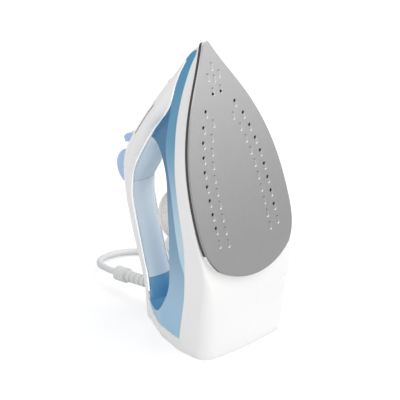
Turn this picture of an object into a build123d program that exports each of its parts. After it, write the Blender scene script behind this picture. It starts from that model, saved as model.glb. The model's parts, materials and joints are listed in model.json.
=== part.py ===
from build123d import *
import os
from math import ceil, cos, hypot, pi, radians, sin, tan

# A steam iron standing on its heel, as it is parked between strokes.
# World frame: +Z up, the table at Z = 0, the origin in the middle of the heel's flat face.
# Iron frame: x from the sole's rear end to the nose, y across, z from the sole to the handle.

# Overall
LEAN = 18.0              # lean of the sole from upright, degrees
SOLE_RISE = 80.0         # height of the sole's rear end above the table
HEEL_CENTRE = 71.0       # from the sole's rear end back to the middle of the heel
HALF_SPAN = 80.0         # half width of the prisms that part the body
WALL = 2.2               # moulded walls
SLANT = 0.7              # share of a wall taken each way on the slanting shoulder
TANK_WALL = 2.4
TANK_SINK = [(-95, 1.1), (160, 1.1), (203, 0.6), (217, 0.2)]   # tank below the white mouldings
SEAM = 0.5               # gap round doors, keys and levers

# Sole and heater
PLATE = 2.2              # sole plate thickness
SKIRT_RISE = 7.0         # height of the skirt's lower edge above the sole's face
RAMP_START = 5.0         # behind this station the lower edge rises to the heel
RAMP_SLOPE = 0.405
SHIELD_INSET = 0.9
SHIELD_GAP = 0.45        # under the skirt's lower edge
SHIELD_END = 33.0        # the dark shield shows only ahead of this station
BLOCK_INSET = 10.0
BLOCK_TOP = 13.0
HOLE_RADIUS = 1.35
DIMPLE_LENGTH = 4.2      # between the end centres of a dimple
DIMPLE_WIDTH = 3.6
DIMPLE_DEPTH = 0.8
DIMPLE_SLOPE = 40.0      # lean of a dimple's wall from upright, degrees
OUTER_HOLES = 9
INNER_DIMPLES = 10

# Controls
DIAL_X = 57.0
DIAL_RADIUS = 24.5
DIAL_FLOOR = 74.5
DIAL_TOP = 94.5
SHAFT_RADIUS = 3.0
KEY_X = 105.5            # middle of the two keys on the handle
KEY_Z = 133.0
KEY_RADIUS = 19.0
KEY_WIDTH = 10.4
KEY_SIDE = 0.5           # from the centre plane to a key's inner face
PUMP_Y = 5.7
PUMP_FLOOR = 119.0
PUMP_TOP = 128.5
LEVER_HALF_WIDTH = 6.0
LEVER_TOP = 137.5
LEVER_TRAVEL = 5.0
ROD_X = 143.5
ROD_RADIUS = 2.2

# Mains cord
CORD = 6.5               # diameter
GUARD_ROOT = (-15.9, 0.0, 144.0)     # iron frame, inside the heel's back wall
GUARD_TILT = 12.5        # the guard's axis turns this far from iron z towards the nose
GUARD_RIBS = 5

# Side view regions: below the tank joint, tank, finger opening, and above the cover's edge
FAR_NOSE = 260
FAR_REAR = -140
FAR_TOP = 200
FAR_BOTTOM = -30
SEAM_FOOT = (-75, 68.3)
HOLLOW_REAR = -40
HOLLOW_NOSE = 200

# Grip underside, a trough between the cover's edges over the finger opening
TROUGH_GAP = 0.4         # under the cover's edge
TROUGH_SET = 1.7         # in from the cover's sides
FILLER_X = 166.0
TROUGH_LIP = 6.0         # the hollow form runs on above the edge

# Water tank: a hollow ring round the finger opening, with the dial's boss on its deck
TANK_END = -12.0         # water stays ahead of this station
SERVICE = [(-15, 40), (-15, 85), (-21, 95), (-28.5, 106), (-33, 118), (-37, 124), (-80, 124), (-80, 40)]
SERVICE_HALF = 32.0
GRIP_GAP = 0.2           # at each end of the grip's underside
GRIP_LOW = 100.0         # below the whole grip
BOSS_LOW = 55.0          # the dial's boss on the tank
BOSS_RADIUS = 21.0
SLEEVE_LOW = 29.0        # the shaft's sleeve through the tank
SLEEVE_TOP = 60.0
SLEEVE_RADIUS = 6.0
RUN_GAP = 0.4            # round shafts and rods
SEAT_RADIUS = 5.5
SEAT_GAP = 0.1
SEAT_HOLE_TOP = 40.0
DECK_LOW = 70.0          # holes through the tank's upper deck
DECK_TOP = 95.0
FILLER_LOW = 40.0
FILLER_HIGH = 62.0
FILLER_RADIUS = 6.0
BOOST_X = 152.0
BOOST_Y = 9.5
HOSE_RADIUS = 1.5
HOSE_GAP = 0.3

# Skirt: the lower moulding, open under the heater, with a lip behind the shield and two screw posts
HEEL_PLATE = 2.6
SLAB_SIZE = 480.0        # larger than the heel every way
SCREW_X = 48.5
SCREW_Y = -38.0
POST_RADIUS = 5.0
POST_TOP = 20.0
SCREW_RADIUS = 1.5
SCREW_HEAD = 3.2
SKIRT_OPENING = 9.0
SKIRT_CUT = 12.0         # height that the opening is cut to
LIP_INSET = 1.0
LIP_INNER = 7.0
LIP_TOP = 8.8
SCREW_TOP = 16.0
SCREW_HOLE_TOP = 17.0
SCREW_SINK = 0.3         # heads below the heel's face
WELD = 0.1               # two forms of one piece run into each other by this
OVERCUT = 1.0            # cuts run past a face by this
FIT = 0.05               # clearance of parts that fit together

# Sole plate with its dimples; the outer row's dimples and two at the nose hold steam holes
HOLE_LINE = [(38, 38.5), (82, 38.2), (109, 36.2), (135.6, 29.9), (148.3, 25.4), (160.2, 18.9)]
INNER_LINE = [(37, 27.7), (74.4, 27.5), (99, 26.3), (123.9, 22.1), (135.8, 18.5), (147.5, 13)]
HOLE_START = 160.2
HOLE_PITCH = 13.18
INNER_START = 147.5
INNER_PITCH = 12.28
NOSE_DIMPLES = [(198.1, 0), (189.4, 7), (189.4, -7), (186.4, 0)]
NOSE_HOLES = [(173.4, 5.1), (173.4, -5.1)]
PLATE_EDGE = 0.4         # step round the lower edge

# Heater: a cast block with the element in it, a steam chamber on top and a gallery over the holes
ELEMENT_RADIUS = 3.5
ELEMENT_Z = 9.0
ELEMENT_GAP = 0.15
ELEMENT_RUN = [(18, -26), (80, -26), (205, 0), (80, 26), (18, 26)]
ELEMENT_BEND = 8.0
PIN_X = 20.0
PIN_Y = 26.0
PIN_RADIUS = 1.6
PIN_TOP = 20.0
GALLERY_HALF = 4.0
GALLERY_TOP = 5.0
GALLERY_NOSE = 182.0
CHAMBER = (88.0, 150.0, 6.5)         # rear, nose, half width
CHAMBER_FLOOR = 7.5
CROSS_X = 103.0          # passage from the chamber out to the gallery
CROSS_HALF = 3.0
CROSS_REACH = 36.0
CROSS_BORE = 2.5
END_SLOT_X = 16.0        # slot behind the element's ends
END_SLOT = 1.0
BOOST_PORT = 1.0
LID = (86.0, 157.0, 12.0)
LID_TOP = BLOCK_TOP + 1.6
SEAT_TOP = 31.0
THERMOSTAT_TOP = 26.0
THERMOSTAT_STEP = 19.0
THERMOSTAT_RADIUS = 11.0
THERMOSTAT_NECK = 6.0
FUSE = (27.0, 44.0, 2.6)             # rear, nose, half width
FUSE_EDGE = 1.5

# Temperature dial on its shaft, which reaches down through the tank to the thermostat
DIAL_NOTCHES = 36
NOTCH_RADIUS = 1.0
NOTCH_RING = 24.8
NOTCH_HEIGHT = 11.5
SHAFT_LOW = 26.3
SHAFT_TOP = 84.0
DIAL_CHAMFER = 1.6
DIAL_GROOVE = (88.0, 88.9)           # round the rim, above the notches
GROOVE_DEPTH = 0.7

# Two keys on the handle, each over a small pump
KEY_LINE = [(80, 142), (130, 125.5)]     # underside of the keys in side view
PUMP_X = 112.0
PUMP_RADIUS = 4.2
PUMP_BASE = 1.2
BRACKET = 1.5
BRACKET_HALF = 8.0
PISTON_RADIUS = 3.3
PISTON_LOW = 125.3
POCKET_RADIUS = 4.6
POCKET_TOP = 136.5
SPRING_RADIUS = 3.85
SPRING_WIRE = 0.28
SPRING_TURNS = 4
KEY_EDGE = 2.4

# Steam lever: a fin over the cover, a stem through its slot and a foot over the steam rod
LEVER_SIDE_VIEW = [(130.5, 130.6), (138.5, 122.2), (138.5, 132), (135.6, LEVER_TOP), (130.5, LEVER_TOP)]
STEM = (132.3, 136.7, 2.4)           # rear, nose, half width
FOOT_PAD = (131.0, 147.0, 4.0)
FOOT_LOW = 100.0
FOOT_HIGH = 103.0
STEM_TOP = 133.5
LEVER_EDGE = 1.6
ROD_LOW = 17.0
ROD_HIGH = 98.0

# Handle cover with its slots, and the filling door cut from the front of it
DOOR_AT = (162.0, 91.6)
DOOR_SLOPE = (-0.606, 0.796)         # up the cover's front, as iron x and z
DOOR_REACH = 22.0
DOOR_DEPTH = 8.0
DOOR_GAP = 1.3           # dark joint under the door's sides
DOOR_NOSE_GAP = 1.0
HINGE_AT = (22.5, -2.85)             # along the slope and out of it
HINGE_NOTCH = 3.2
NOTCH_HALF = 11.3
KNUCKLE_RADIUS = 1.9
KNUCKLE_HALF = 4.6
DOOR_PIN = 1.2
EAR = (5.0, 7.2)                     # the cover's two ears across
EAR_REACH = 9.0
DOOR_FAR = 20.0                      # clear above the door's face
SLOT_LOW = 108.0                     # floor of the lever's slot cut
NOZZLE_X = 186.0
NOZZLE_Z = 59.4
NOZZLE_HOLE = (-12.0, 5.0)
NOZZLE_TIP = 1.4
JET = (-1.0, 3.0, 0.6)               # from, to and radius
NOZZLE_RADIUS = 3.2
GUARD_NECK = 5.0
LENS_X = 70.0
LENS_RADIUS = 2.8
LENS_LOW = 148.4
LENS_TOP = 153.4
LENS_EDGE = 0.8
GUARD_HOLE = 20.0
FUNNEL_WALL = 1.4
FUNNEL_TOP = 70.0

# Spray nozzle and the two hoses from the pumps
NOZZLE_DEPTH = 6.0
HOSE_BEND = 3.0
HOSE_SIDE = [(116.3, 5.7, 121.5), (120.5, 5.7, 121.5), (124, 9.5, 114.5), (130.5, 11, 102.8), (143, 11, 87)]
SPRAY_FRONT = [(155, 11, 70.5), (164, 10.3, 60), (172, 8.5, 53.5), (176.2, 0, 52.05), (181.16, 0, 55.77)]
BOOST_FRONT = [(BOOST_X, BOOST_Y, 77), (BOOST_X, BOOST_Y, LID_TOP + 0.1)]

# Mains connection in the heel: terminal block on the heel plate, cord wires and heater leads
TERMINAL = (26.0, 16.0, 12.0)        # across, front to back, height
TERMINAL_Y = 8.0
TERMINAL_EDGE = 1.0
WIRE_RADIUS = 1.1
WIRE_BEND = 3.0
WIRE_GAP = 5.5
CORE_GAP = 2.4                       # between the cord's cores at the guard
CORE_RUN = 4.0
WIRE_TURN = (-24.5, 138.5)           # iron x and z
WIRE_DROP = 40.0
WIRE_HEIGHT = 7.0
LEAD_HEIGHT = 8.0
LEAD_RUN = 6.0
LEAD_ROUTE = [(-38, 14, 72), (-24, 22, 50), (0, PIN_Y, 30), (PIN_X, PIN_Y, 28), (PIN_X, PIN_Y, PIN_TOP)]

# Ribbed guard, mains cord, its put-away coil and the plug
GUARD_FLANGE = (0.6, 3.2, 8.0)       # from, to and radius
RIB_START = 10.0
RIB_PITCH = 6.7
RIB_WIDTH = 4.2
RIB_RADIUS = 5.7
RIB_ROOT = 4.4
COLLAR_START = 43.5
COLLAR_END = 56.4
COLLAR_RADIUS = 7.4
CORD_REST = 3.3                      # centre height of cord on the table
CORD_FIRST_RUN = 23.5
CORD_ROUTE = [(14, 160, 8.6), (37, 167.5, 5), (60, 160, 3.5), (74, 140.5, CORD_REST), (74, 117, CORD_REST)]
BEND_SHARE = 0.45                    # of the shorter run beside a bend, taken by its arc

# Put-away coil: half turns spiral in, climb a layer, spiral out again and run to the plug
COIL_RADIUS = 51.2
TURN_PITCH = 7.2
LAYER_RISE = 7.1
INWARD_HALVES = 9
OUTWARD_HALVES = 6
PLUG = (30.0, 38.0, 20.6)            # across, along and thick
PLUG_BACK = 52.0
PLUG_PINS = 19.0                     # apart and long
GAP_SAMPLES = 900
GAP_SKIP = 4                         # diameters along the cord between points that are compared
PLUG_CORNER = 5.0
PLUG_EDGE = 3.0
PLUG_PIN_RADIUS = 2.0

NOSE_WAY = Vector(0, sin(radians(LEAN)), cos(radians(LEAN)))
RISE_WAY = Vector(0, cos(radians(LEAN)), -sin(radians(LEAN)))
SOLE_END = Vector(0, -HEEL_CENTRE, SOLE_RISE)
IRON = Plane(SOLE_END, x_dir=NOSE_WAY, z_dir=RISE_WAY)
SIDE = Plane(SOLE_END, x_dir=NOSE_WAY, z_dir=(-1, 0, 0))

# Feature lines of the body: station, then half width and height, or one value.
FOOT = [(-95, 54), (-50, 54.8), (0, 57), (33, 59), (52, 59.4), (79, 58), (106, 54.5), (133, 47.6),
        (153.5, 37.2), (169.5, 27), (183, 19.3), (194, 13), (205, 7.8), (212, 4.2), (217, 1.6)]
FOOT_RADIUS = [(-95, 16), (-40, 13), (0, 7), (25, 2.5), (60, 1.5), (205, 1.2), (217, 0.5)]
BELLY = [(-95, 3), (-60, 2.6), (0, 0.6), (30, 0.25), (217, 0.2)]
JOINT = [(-95, 53.5, 86), (-49, 54, 68.3), (-30, 53.8, 59.3), (-7, 53.8, 48), (17, 54.2, 39.3),
         (37, 54.8, 32.7), (62, 55.2, 28.6), (90, 53.2, 27), (118, 48, 26), (147, 36.8, 26.5),
         (175, 19.8, 27.5), (191, 11.6, 23.6), (205, 5.2, 17.5), (212, 2.8, 13), (217, 1.4, 9.4)]
CREASE = [(-95, 45, 104), (-50, 45, 103), (-30, 42, 101.5), (-8, 37, 91), (18, 39, 77), (52, 43, 62),
          (84, 44.3, 52.6), (112, 41.5, 47.6), (128, 38, 46.5), (146, 30, 47.5), (160, 21.5, 48.5),
          (176, 16.6, 37), (190, 10.5, 32.5), (198, 7.5, 29.5), (206, 4.5, 22.8), (212, 2.6, 15.8),
          (217, 1.3, 10.4)]
EDGE = [(-95, 29, 131), (-50, 28, 133), (-28, 25, 134.5), (-15, 19.5, 137), (0, 15.8, 138.7), (16, 15, 138.8),
        (45, 15, 137.3), (65, 15, 136.2), (80, 15, 134.3), (92, 15, 129.9), (105, 15.3, 123.2),
        (118, 16, 111),
        (130, 16.7, 97.5), (143, 17.4, 81.4), (155, 17.8, 64.4), (161, 18, 55.8), (166, 17, 50.8),
        (172, 15.5, 47.6), (180, 12.5, 44.9), (189, 9.8, 40.6), (197, 7, 35.7), (206, 4.2, 28.3),
        (212, 2.3, 21.2), (217, 1.1, 12)]
SHOULDER = [(-95, 16, 148), (-50, 17, 148), (-27, 16.5, 147), (-12, 13.2, 147.8), (4, 11.8, 148.4),
            (30, 11.6, 149), (54, 11.6, 148.2), (74, 11.6, 147), (90, 11.6, 144.8), (104, 11.7, 141.2),
            (117, 11.9, 136.2), (127, 12.1, 128.8), (142, 12.4, 112.5), (152, 12.8, 99.6), (162, 12.6, 87.2),
            (171, 11.8, 75.4), (180, 9.8, 63.8), (189, 7.6, 52.6), (197, 5.4, 41), (206, 3.2, 30.6),
            (212, 1.8, 22.6), (217, 0.8, 12.8)]
CROWN = [(-95, 152), (-50, 152), (-27, 151.5), (-12, 152.8), (4, 153.6), (30, 154.4), (54, 153.6),
         (74, 152.4),
         (90, 150.2), (104, 146.6), (117, 141.4), (127, 133.8), (142, 117.2), (152, 104.2), (162, 91.6),
         (171, 79.6), (180, 67.4), (189, 55.4), (197, 43.4), (206, 32), (212, 23.4), (217, 13.2)]
STATIONS = [217, 211, 203, 194, 183, 172, 160, 147, 132, 116, 98, 70, 40, 16, -6, -28, -50, -72, -95]
INNER_STATIONS = [203, *STATIONS[3:]]
NO_INSET = [(STATIONS[-1], 0), (STATIONS[0], 0)]
GRIP_FLOOR = [(-26, 131), (-16, 130.6), (-6, 131.3), (10, 131.7), (50, 130), (80, 127), (92, 121.4),
              (105, 107), (118, 93.5), (130, 79), (140, 66.5)]
GRIP_STATIONS = [139, 128, 116, 104, 90, 60, 20, 0, -12, -25]
GRIP_SEAMS = (93.0, -3.0)        # ends of the grip's separate underside

# Side of the sole from the nose back, as iron x and half width; the nose round starts above NOSE_HALF.
SOLE_SIDE = [(219.5, 4.2), (201.5, 13.9), (163.6, 36.2), (115, 54.2), (59, 59.5), (30, 55.5), (16, 47)]
NOSE_HALF = 1.5

# Side view curves: where the colours part.
TANK_TAIL = (-49, 68.3)          # the tank's rear corner
EDGE_REAR = [(-49, 68.3), (-46, 82), (-41.5, 96), (-37, 112), (-31, 126), (-22, 135.6)]
EDGE_START = -20                 # the cover's edge follows its points from here
TANK_NOSE = (215, 12.4)
RIM = [(-18, 140), (-25.5, 130), (-29, 117), (-14, 93), (18, 77.5), (52, 62.5), (84, 52.6), (103, 49),
       (122, 55),
       (134.5, 70), (138, 86), (136, 100)]


def iron(x, y, z):
    """A point of the iron frame in the world."""
    return IRON.from_local_coords(Vector(x, y, z))


def along(line, station):
    """Values of a feature line at a station, on smooth cubics through its points."""
    left = max(0, min(len(line) - 2, sum(1 for point in line if point[0] <= station) - 1))
    first, second = line[left], line[left + 1]
    before, after = line[max(left - 1, 0)], line[min(left + 2, len(line) - 1)]
    span = second[0] - first[0]
    s = (station - first[0]) / span
    values = []
    for i in range(1, len(first)):
        slope_in = (second[i] - before[i]) / (second[0] - before[0]) * span
        slope_out = (after[i] - first[i]) / (after[0] - first[0]) * span
        values.append(
            first[i] * (1 + 2 * s) * (1 - s) ** 2 + slope_in * s * (1 - s) ** 2
            + second[i] * s * s * (3 - 2 * s) + slope_out * s * s * (s - 1)
        )
    return values


def foot_height(station):
    """Height of the skirt's lower edge: level under the sole, then rising to the heel."""
    return SKIRT_RISE + max(0.0, RAMP_START - station) * RAMP_SLOPE


def section_plane(station):
    """Plane across the iron at a station: sketch x is iron y, sketch y is iron z."""
    return Plane(iron(station, 0, 0), x_dir=(1, 0, 0), z_dir=NOSE_WAY)


def section(station, inset):
    """Closed outline of the body across a station, drawn in by the inset."""
    foot = along(FOOT, station)[0] - inset
    floor = foot_height(station) + inset
    radius = along(FOOT_RADIUS, station)[0]
    belly = along(BELLY, station)[0]
    corner = radius * (1 - cos(pi / 4))
    right = [
        (foot - radius, floor),
        (foot - corner, floor + corner),
        (foot, floor + radius),
    ]
    for line in (JOINT, CREASE, EDGE):
        half, height = along(line, station)
        right.append((half - inset, height))
    half, height = along(SHOULDER, station)
    right.append((half - inset * SLANT, height - inset * SLANT))
    crown = along(CROWN, station)[0] - inset
    left = [(-y, z) for y, z in right]
    ThreePointArc(left[0], (0, floor - belly), right[0])
    ThreePointArc(right[0], right[1], right[2])
    Polyline(*right[2:6])
    Spline(right[5], right[6], (0, crown), left[6], left[5])
    Polyline(*left[5:1:-1])
    ThreePointArc(left[2], left[1], left[0])


def body_form(insets, stations):
    """The whole outer body as one solid, drawn in by an inset that may change along it."""
    with BuildPart() as form:
        for station in stations:
            with BuildSketch(section_plane(station)):
                with BuildLine():
                    section(station, along(insets, station)[0])
                make_face()
        loft()
    return form.part


def shifted(points, amount):
    """Points of an open line, each moved square to the line, to its left for a positive amount."""
    moved = []
    for i, (x, y) in enumerate(points):
        before, after = points[max(i - 1, 0)], points[min(i + 1, len(points) - 1)]
        run = hypot(after[0] - before[0], after[1] - before[1])
        moved.append((x - (after[1] - before[1]) / run * amount, y + (after[0] - before[0]) / run * amount))
    return moved


def sole_outline(inset):
    """Outline of the sole drawn in by an inset: round nose, swelling sides, shallow arc across the rear."""
    side = [point for point in shifted(SOLE_SIDE, inset) if point[1] > NOSE_HALF]
    nose, rear = side[0], side[-1]
    slope = (side[1][1] - nose[1]) / (nose[0] - side[1][0])
    tip = nose[0] + nose[1] * (hypot(1, slope) - slope)
    mirror(Spline(*side), about=Plane.XZ)
    ThreePointArc(nose, (tip, 0), (nose[0], -nose[1]))
    ThreePointArc(rear, (inset, 0), (rear[0], -rear[1]))


def edge_points(first, last):
    """Side view points of the cover's lower edge between two stations, rear to nose."""
    return [(x, z) for x, half, z in EDGE if first < x < last]


def joint_curve():
    """Side view line where the tank sits on the skirt, from the nose to the tank's tail."""
    points = [(x, z) for x, half, z in JOINT if TANK_TAIL[0] < x < TANK_NOSE[0]]
    return Spline(TANK_NOSE, *reversed(points), TANK_TAIL)


def edge_curve():
    """Side view lower edge of the handle cover, from the tank's tail over the grip to the nose."""
    rear = Spline(*EDGE_REAR)
    return Spline(rear @ 1, *edge_points(EDGE_START, TANK_NOSE[0]), TANK_NOSE)


os.makedirs("parts", exist_ok=True)


def save(part, name):
    """Label a finished piece and write it as its own file."""
    part.label = name
    export_step(part, f"parts/{name}.step")
    print(name, len(part.solids()), round(part.volume), part.is_valid)


# Body forms that the mouldings are cut from
outer = body_form(NO_INSET, STATIONS)
inner = body_form([(x, WALL) for x, inset in NO_INSET], INNER_STATIONS)
tank_outer = body_form(TANK_SINK, STATIONS)
tank_inner = body_form([(x, sink + TANK_WALL) for x, sink in TANK_SINK], INNER_STATIONS)
with BuildPart() as shell:
    add(outer)
    add(inner, mode=Mode.SUBTRACT)

# Side view regions: below the tank joint, tank, finger opening, and above the cover's edge
with BuildSketch(SIDE) as skirt_region:
    with BuildLine():
        joint_curve()
        seam_end = (FAR_REAR, SEAM_FOOT[1])
        Polyline(TANK_TAIL, SEAM_FOOT, seam_end, (FAR_REAR, FAR_BOTTOM), (FAR_NOSE, FAR_BOTTOM),
                 (FAR_NOSE, TANK_NOSE[1]), TANK_NOSE)
    make_face()
with BuildSketch(SIDE) as tank_region:
    with BuildLine():
        joint_curve()
        Spline(*EDGE_REAR)
        edge_curve()
    make_face()
with BuildSketch(SIDE) as cover_region:
    with BuildLine():
        Spline(*EDGE_REAR)
        edge_curve()
        Polyline(TANK_NOSE, (FAR_NOSE, TANK_NOSE[1]), (FAR_NOSE, FAR_TOP), (FAR_REAR, FAR_TOP),
                 seam_end, SEAM_FOOT, TANK_TAIL)
    make_face()
with BuildSketch(SIDE) as opening_region:
    with BuildLine():
        Spline(*RIM)
        Polyline(RIM[-1], (RIM[-1][0], FAR_TOP), (RIM[0][0], FAR_TOP), RIM[0])
    make_face()
with BuildSketch(SIDE) as tank_profile:
    add(tank_region.sketch_local)
    add(opening_region.sketch_local, mode=Mode.SUBTRACT)
hollow_floor = [(x, z) for x, half, z in JOINT if HOLLOW_REAR < x < HOLLOW_NOSE]
hollow_roof = [(x, z) for x, half, z in EDGE if HOLLOW_REAR < x < HOLLOW_NOSE]
with BuildSketch(SIDE) as tank_hollow:
    with BuildLine():
        floor_line = Spline(*shifted(hollow_floor, TANK_WALL))
        roof_line = Spline(*shifted(hollow_roof, -TANK_WALL))
        Line(floor_line @ 0, roof_line @ 0)
        Line(floor_line @ 1, roof_line @ 1)
    make_face()
    rim = shifted(RIM, -TANK_WALL)
    with BuildLine():
        Spline(*rim)
        Polyline(rim[-1], (rim[-1][0], FAR_TOP), (rim[0][0], FAR_TOP), rim[0])
    make_face(mode=Mode.SUBTRACT)


def level(height):
    """Plane parallel to the sole at a height above it."""
    return IRON.offset(height)


def post(x, y, low, high, radius):
    """Round post square to the sole, made apart from any part under construction."""
    with BuildPart(mode=Mode.PRIVATE) as pin:
        with BuildSketch(level(low)):
            with Locations((x, y)):
                Circle(radius)
        extrude(amount=high - low)
    return pin.part


def block(x_low, x_high, half_width, low, high, y=0.0):
    """Square-cut block in the iron frame, made apart from any part under construction."""
    with BuildPart(mode=Mode.PRIVATE) as bar:
        with BuildSketch(level(low)):
            with Locations(((x_low + x_high) / 2, y)):
                Rectangle(x_high - x_low, 2 * half_width)
        extrude(amount=high - low)
    return bar.part


def tube(points, radius, bend):
    """Round rod or wire along straight runs joined by arcs, through points of the world."""
    with BuildLine(mode=Mode.PRIVATE) as run:
        FilletPolyline(*points, radius=bend)
    with BuildPart(mode=Mode.PRIVATE) as wire:
        with BuildSketch(Plane(run.line @ 0, z_dir=run.line % 0)):
            Circle(radius)
        sweep(path=run.line)
    return wire.part


# Grip underside, a trough between the cover's edges over the finger opening


def grip_form(inset, rise):
    """The trough under the grip as a solid, drawn in by the inset and ending above or below the edge."""
    with BuildPart() as form:
        for station in GRIP_STATIONS:
            half, edge = along(EDGE, station)
            floor = along(GRIP_FLOOR, station)[0] + inset
            half -= inset + TROUGH_SET
            low = edge - TROUGH_GAP
            high = edge + rise
            with BuildSketch(section_plane(station)):
                with BuildLine():
                    ThreePointArc((-half, low), (0, floor), (half, low))
                    Polyline((half, low), (half, high), (-half, high), (-half, low))
                make_face()
        loft()
    return form.part


grip_inner = grip_form(WALL, TROUGH_LIP)
trough_edge = shifted([(x, z) for x, half, z in EDGE if EDGE_REAR[-2][0] < x < FILLER_X], -TROUGH_GAP)
with BuildSketch(SIDE) as above_trough:
    with BuildLine():
        Spline(*trough_edge)
        Polyline(trough_edge[-1], (trough_edge[-1][0], FAR_TOP), (trough_edge[0][0], FAR_TOP), trough_edge[0])
    make_face()
with BuildPart() as trough:
    add(grip_form(0, TROUGH_GAP))
    add(grip_inner, mode=Mode.SUBTRACT)
    extrude(opening_region.sketch, amount=HALF_SPAN, both=True, mode=Mode.INTERSECT)
    extrude(above_trough.sketch, amount=HALF_SPAN, both=True, mode=Mode.SUBTRACT)
with BuildPart() as grip_underside:
    add(trough.part)
    add(block(GRIP_SEAMS[1], GRIP_SEAMS[0], HALF_SPAN, 0, FAR_TOP), mode=Mode.INTERSECT)
save(grip_underside.part, "grip_underside")

# Water tank: a hollow ring round the finger opening, with the dial's boss on its deck
with BuildPart() as tank_cavity:
    add(tank_inner)
    extrude(tank_hollow.sketch, amount=HALF_SPAN, both=True, mode=Mode.INTERSECT)
    add(block(TANK_END, FAR_NOSE, HALF_SPAN, FAR_BOTTOM, FAR_TOP), mode=Mode.INTERSECT)
with BuildPart() as service_space:
    with BuildSketch(SIDE):
        Polygon(*SERVICE, align=None)
    extrude(amount=SERVICE_HALF, both=True)
with BuildPart() as water_tank:
    add(tank_outer)
    extrude(tank_profile.sketch, amount=HALF_SPAN, both=True, mode=Mode.INTERSECT)
    add(tank_cavity.part, mode=Mode.SUBTRACT)
    add(service_space.part, mode=Mode.SUBTRACT)
    add(trough.part)
    seam_rear, seam_nose = GRIP_SEAMS[1] - GRIP_GAP, GRIP_SEAMS[0] + GRIP_GAP
    add(block(seam_rear, seam_nose, HALF_SPAN, GRIP_LOW, FAR_TOP), mode=Mode.SUBTRACT)
    add(post(DIAL_X, 0, BOSS_LOW, DIAL_FLOOR - SEAM, BOSS_RADIUS))
    add(post(DIAL_X, 0, SLEEVE_LOW, SLEEVE_TOP, SLEEVE_RADIUS))
    add(post(DIAL_X, 0, BLOCK_TOP, DIAL_FLOOR, SHAFT_RADIUS + RUN_GAP), mode=Mode.SUBTRACT)
    add(post(ROD_X, 0, BLOCK_TOP, SEAT_HOLE_TOP, SEAT_RADIUS + SEAT_GAP), mode=Mode.SUBTRACT)
    add(post(ROD_X, 0, DECK_LOW, DECK_TOP, ROD_RADIUS + RUN_GAP), mode=Mode.SUBTRACT)
    add(post(BOOST_X, BOOST_Y, BLOCK_TOP, DECK_TOP, HOSE_RADIUS + HOSE_GAP), mode=Mode.SUBTRACT)
    add(post(FILLER_X, 0, FILLER_LOW, FILLER_HIGH, FILLER_RADIUS), mode=Mode.SUBTRACT)
save(water_tank.part, "water_tank")

# Skirt: the lower moulding, open under the heater, with a lip behind the shield and two screw posts


def sole_slab(inset, low, high):
    """Slab of the sole's outline drawn in by an inset, between two heights."""
    with BuildPart(mode=Mode.PRIVATE) as slab:
        with BuildSketch(level(low)):
            with BuildLine():
                sole_outline(inset)
            make_face()
        extrude(amount=high - low)
    return slab.part


def sole_ring(outside, inside, low, high):
    """Ring that follows the sole's outline between two insets."""
    return sole_slab(outside, low, high) - sole_slab(inside, low - OVERCUT, high + OVERCUT)


def upright(x, y, low, high, radius, tip=None):
    """Upright post of the world, tapered when a tip radius is given."""
    with BuildPart(mode=Mode.PRIVATE) as pin:
        with BuildSketch(Plane((x, y, low))):
            Circle(radius)
        if tip is None:
            extrude(amount=high - low)
        else:
            with BuildSketch(Plane((x, y, high))):
                Circle(tip)
            loft()
    return pin.part


with BuildPart() as heel_slab:
    with BuildSketch(Plane.XY):
        Rectangle(SLAB_SIZE, SLAB_SIZE)
    extrude(amount=HEEL_PLATE)
    extrude(heel_slab.faces().sort_by(Axis.Z)[0], amount=SLAB_SIZE)
with BuildPart() as skirt:
    add(shell.part)
    extrude(skirt_region.sketch, amount=HALF_SPAN, both=True, mode=Mode.INTERSECT)
    add(sole_slab(SKIRT_OPENING, 0, SKIRT_CUT), mode=Mode.SUBTRACT)
    lip_reach = block(FAR_REAR, SHIELD_END, HALF_SPAN, 0, SKIRT_CUT)
    add(sole_ring(LIP_INSET, LIP_INNER, PLATE, LIP_TOP) & lip_reach)
    for x in (-SCREW_X, SCREW_X):
        add(upright(x, SCREW_Y, HEEL_PLATE, POST_TOP, POST_RADIUS) & outer)
    add(heel_slab.part, mode=Mode.SUBTRACT)
    for x in (-SCREW_X, SCREW_X):
        add(upright(x, SCREW_Y, 0, SCREW_HOLE_TOP, SCREW_RADIUS + FIT), mode=Mode.SUBTRACT)
save(skirt.part, "skirt")

# Heel plate and its two countersunk screws
with BuildPart() as rear_cover:
    add(outer)
    with BuildSketch(Plane.XY):
        Rectangle(SLAB_SIZE, SLAB_SIZE)
    extrude(amount=HEEL_PLATE - FIT, mode=Mode.INTERSECT)
    for x in (-SCREW_X, SCREW_X):
        add(upright(x, SCREW_Y, 0, HEEL_PLATE, SCREW_HEAD + FIT, SCREW_RADIUS + FIT), mode=Mode.SUBTRACT)
save(rear_cover.part, "rear_cover")
with BuildPart() as heel_screws:
    for x in (-SCREW_X, SCREW_X):
        add(upright(x, SCREW_Y, SCREW_SINK, HEEL_PLATE, SCREW_HEAD - RUN_GAP, SCREW_RADIUS))
        add(upright(x, SCREW_Y, HEEL_PLATE - WELD, SCREW_TOP, SCREW_RADIUS))
save(heel_screws.part, "heel_screws")

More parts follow.
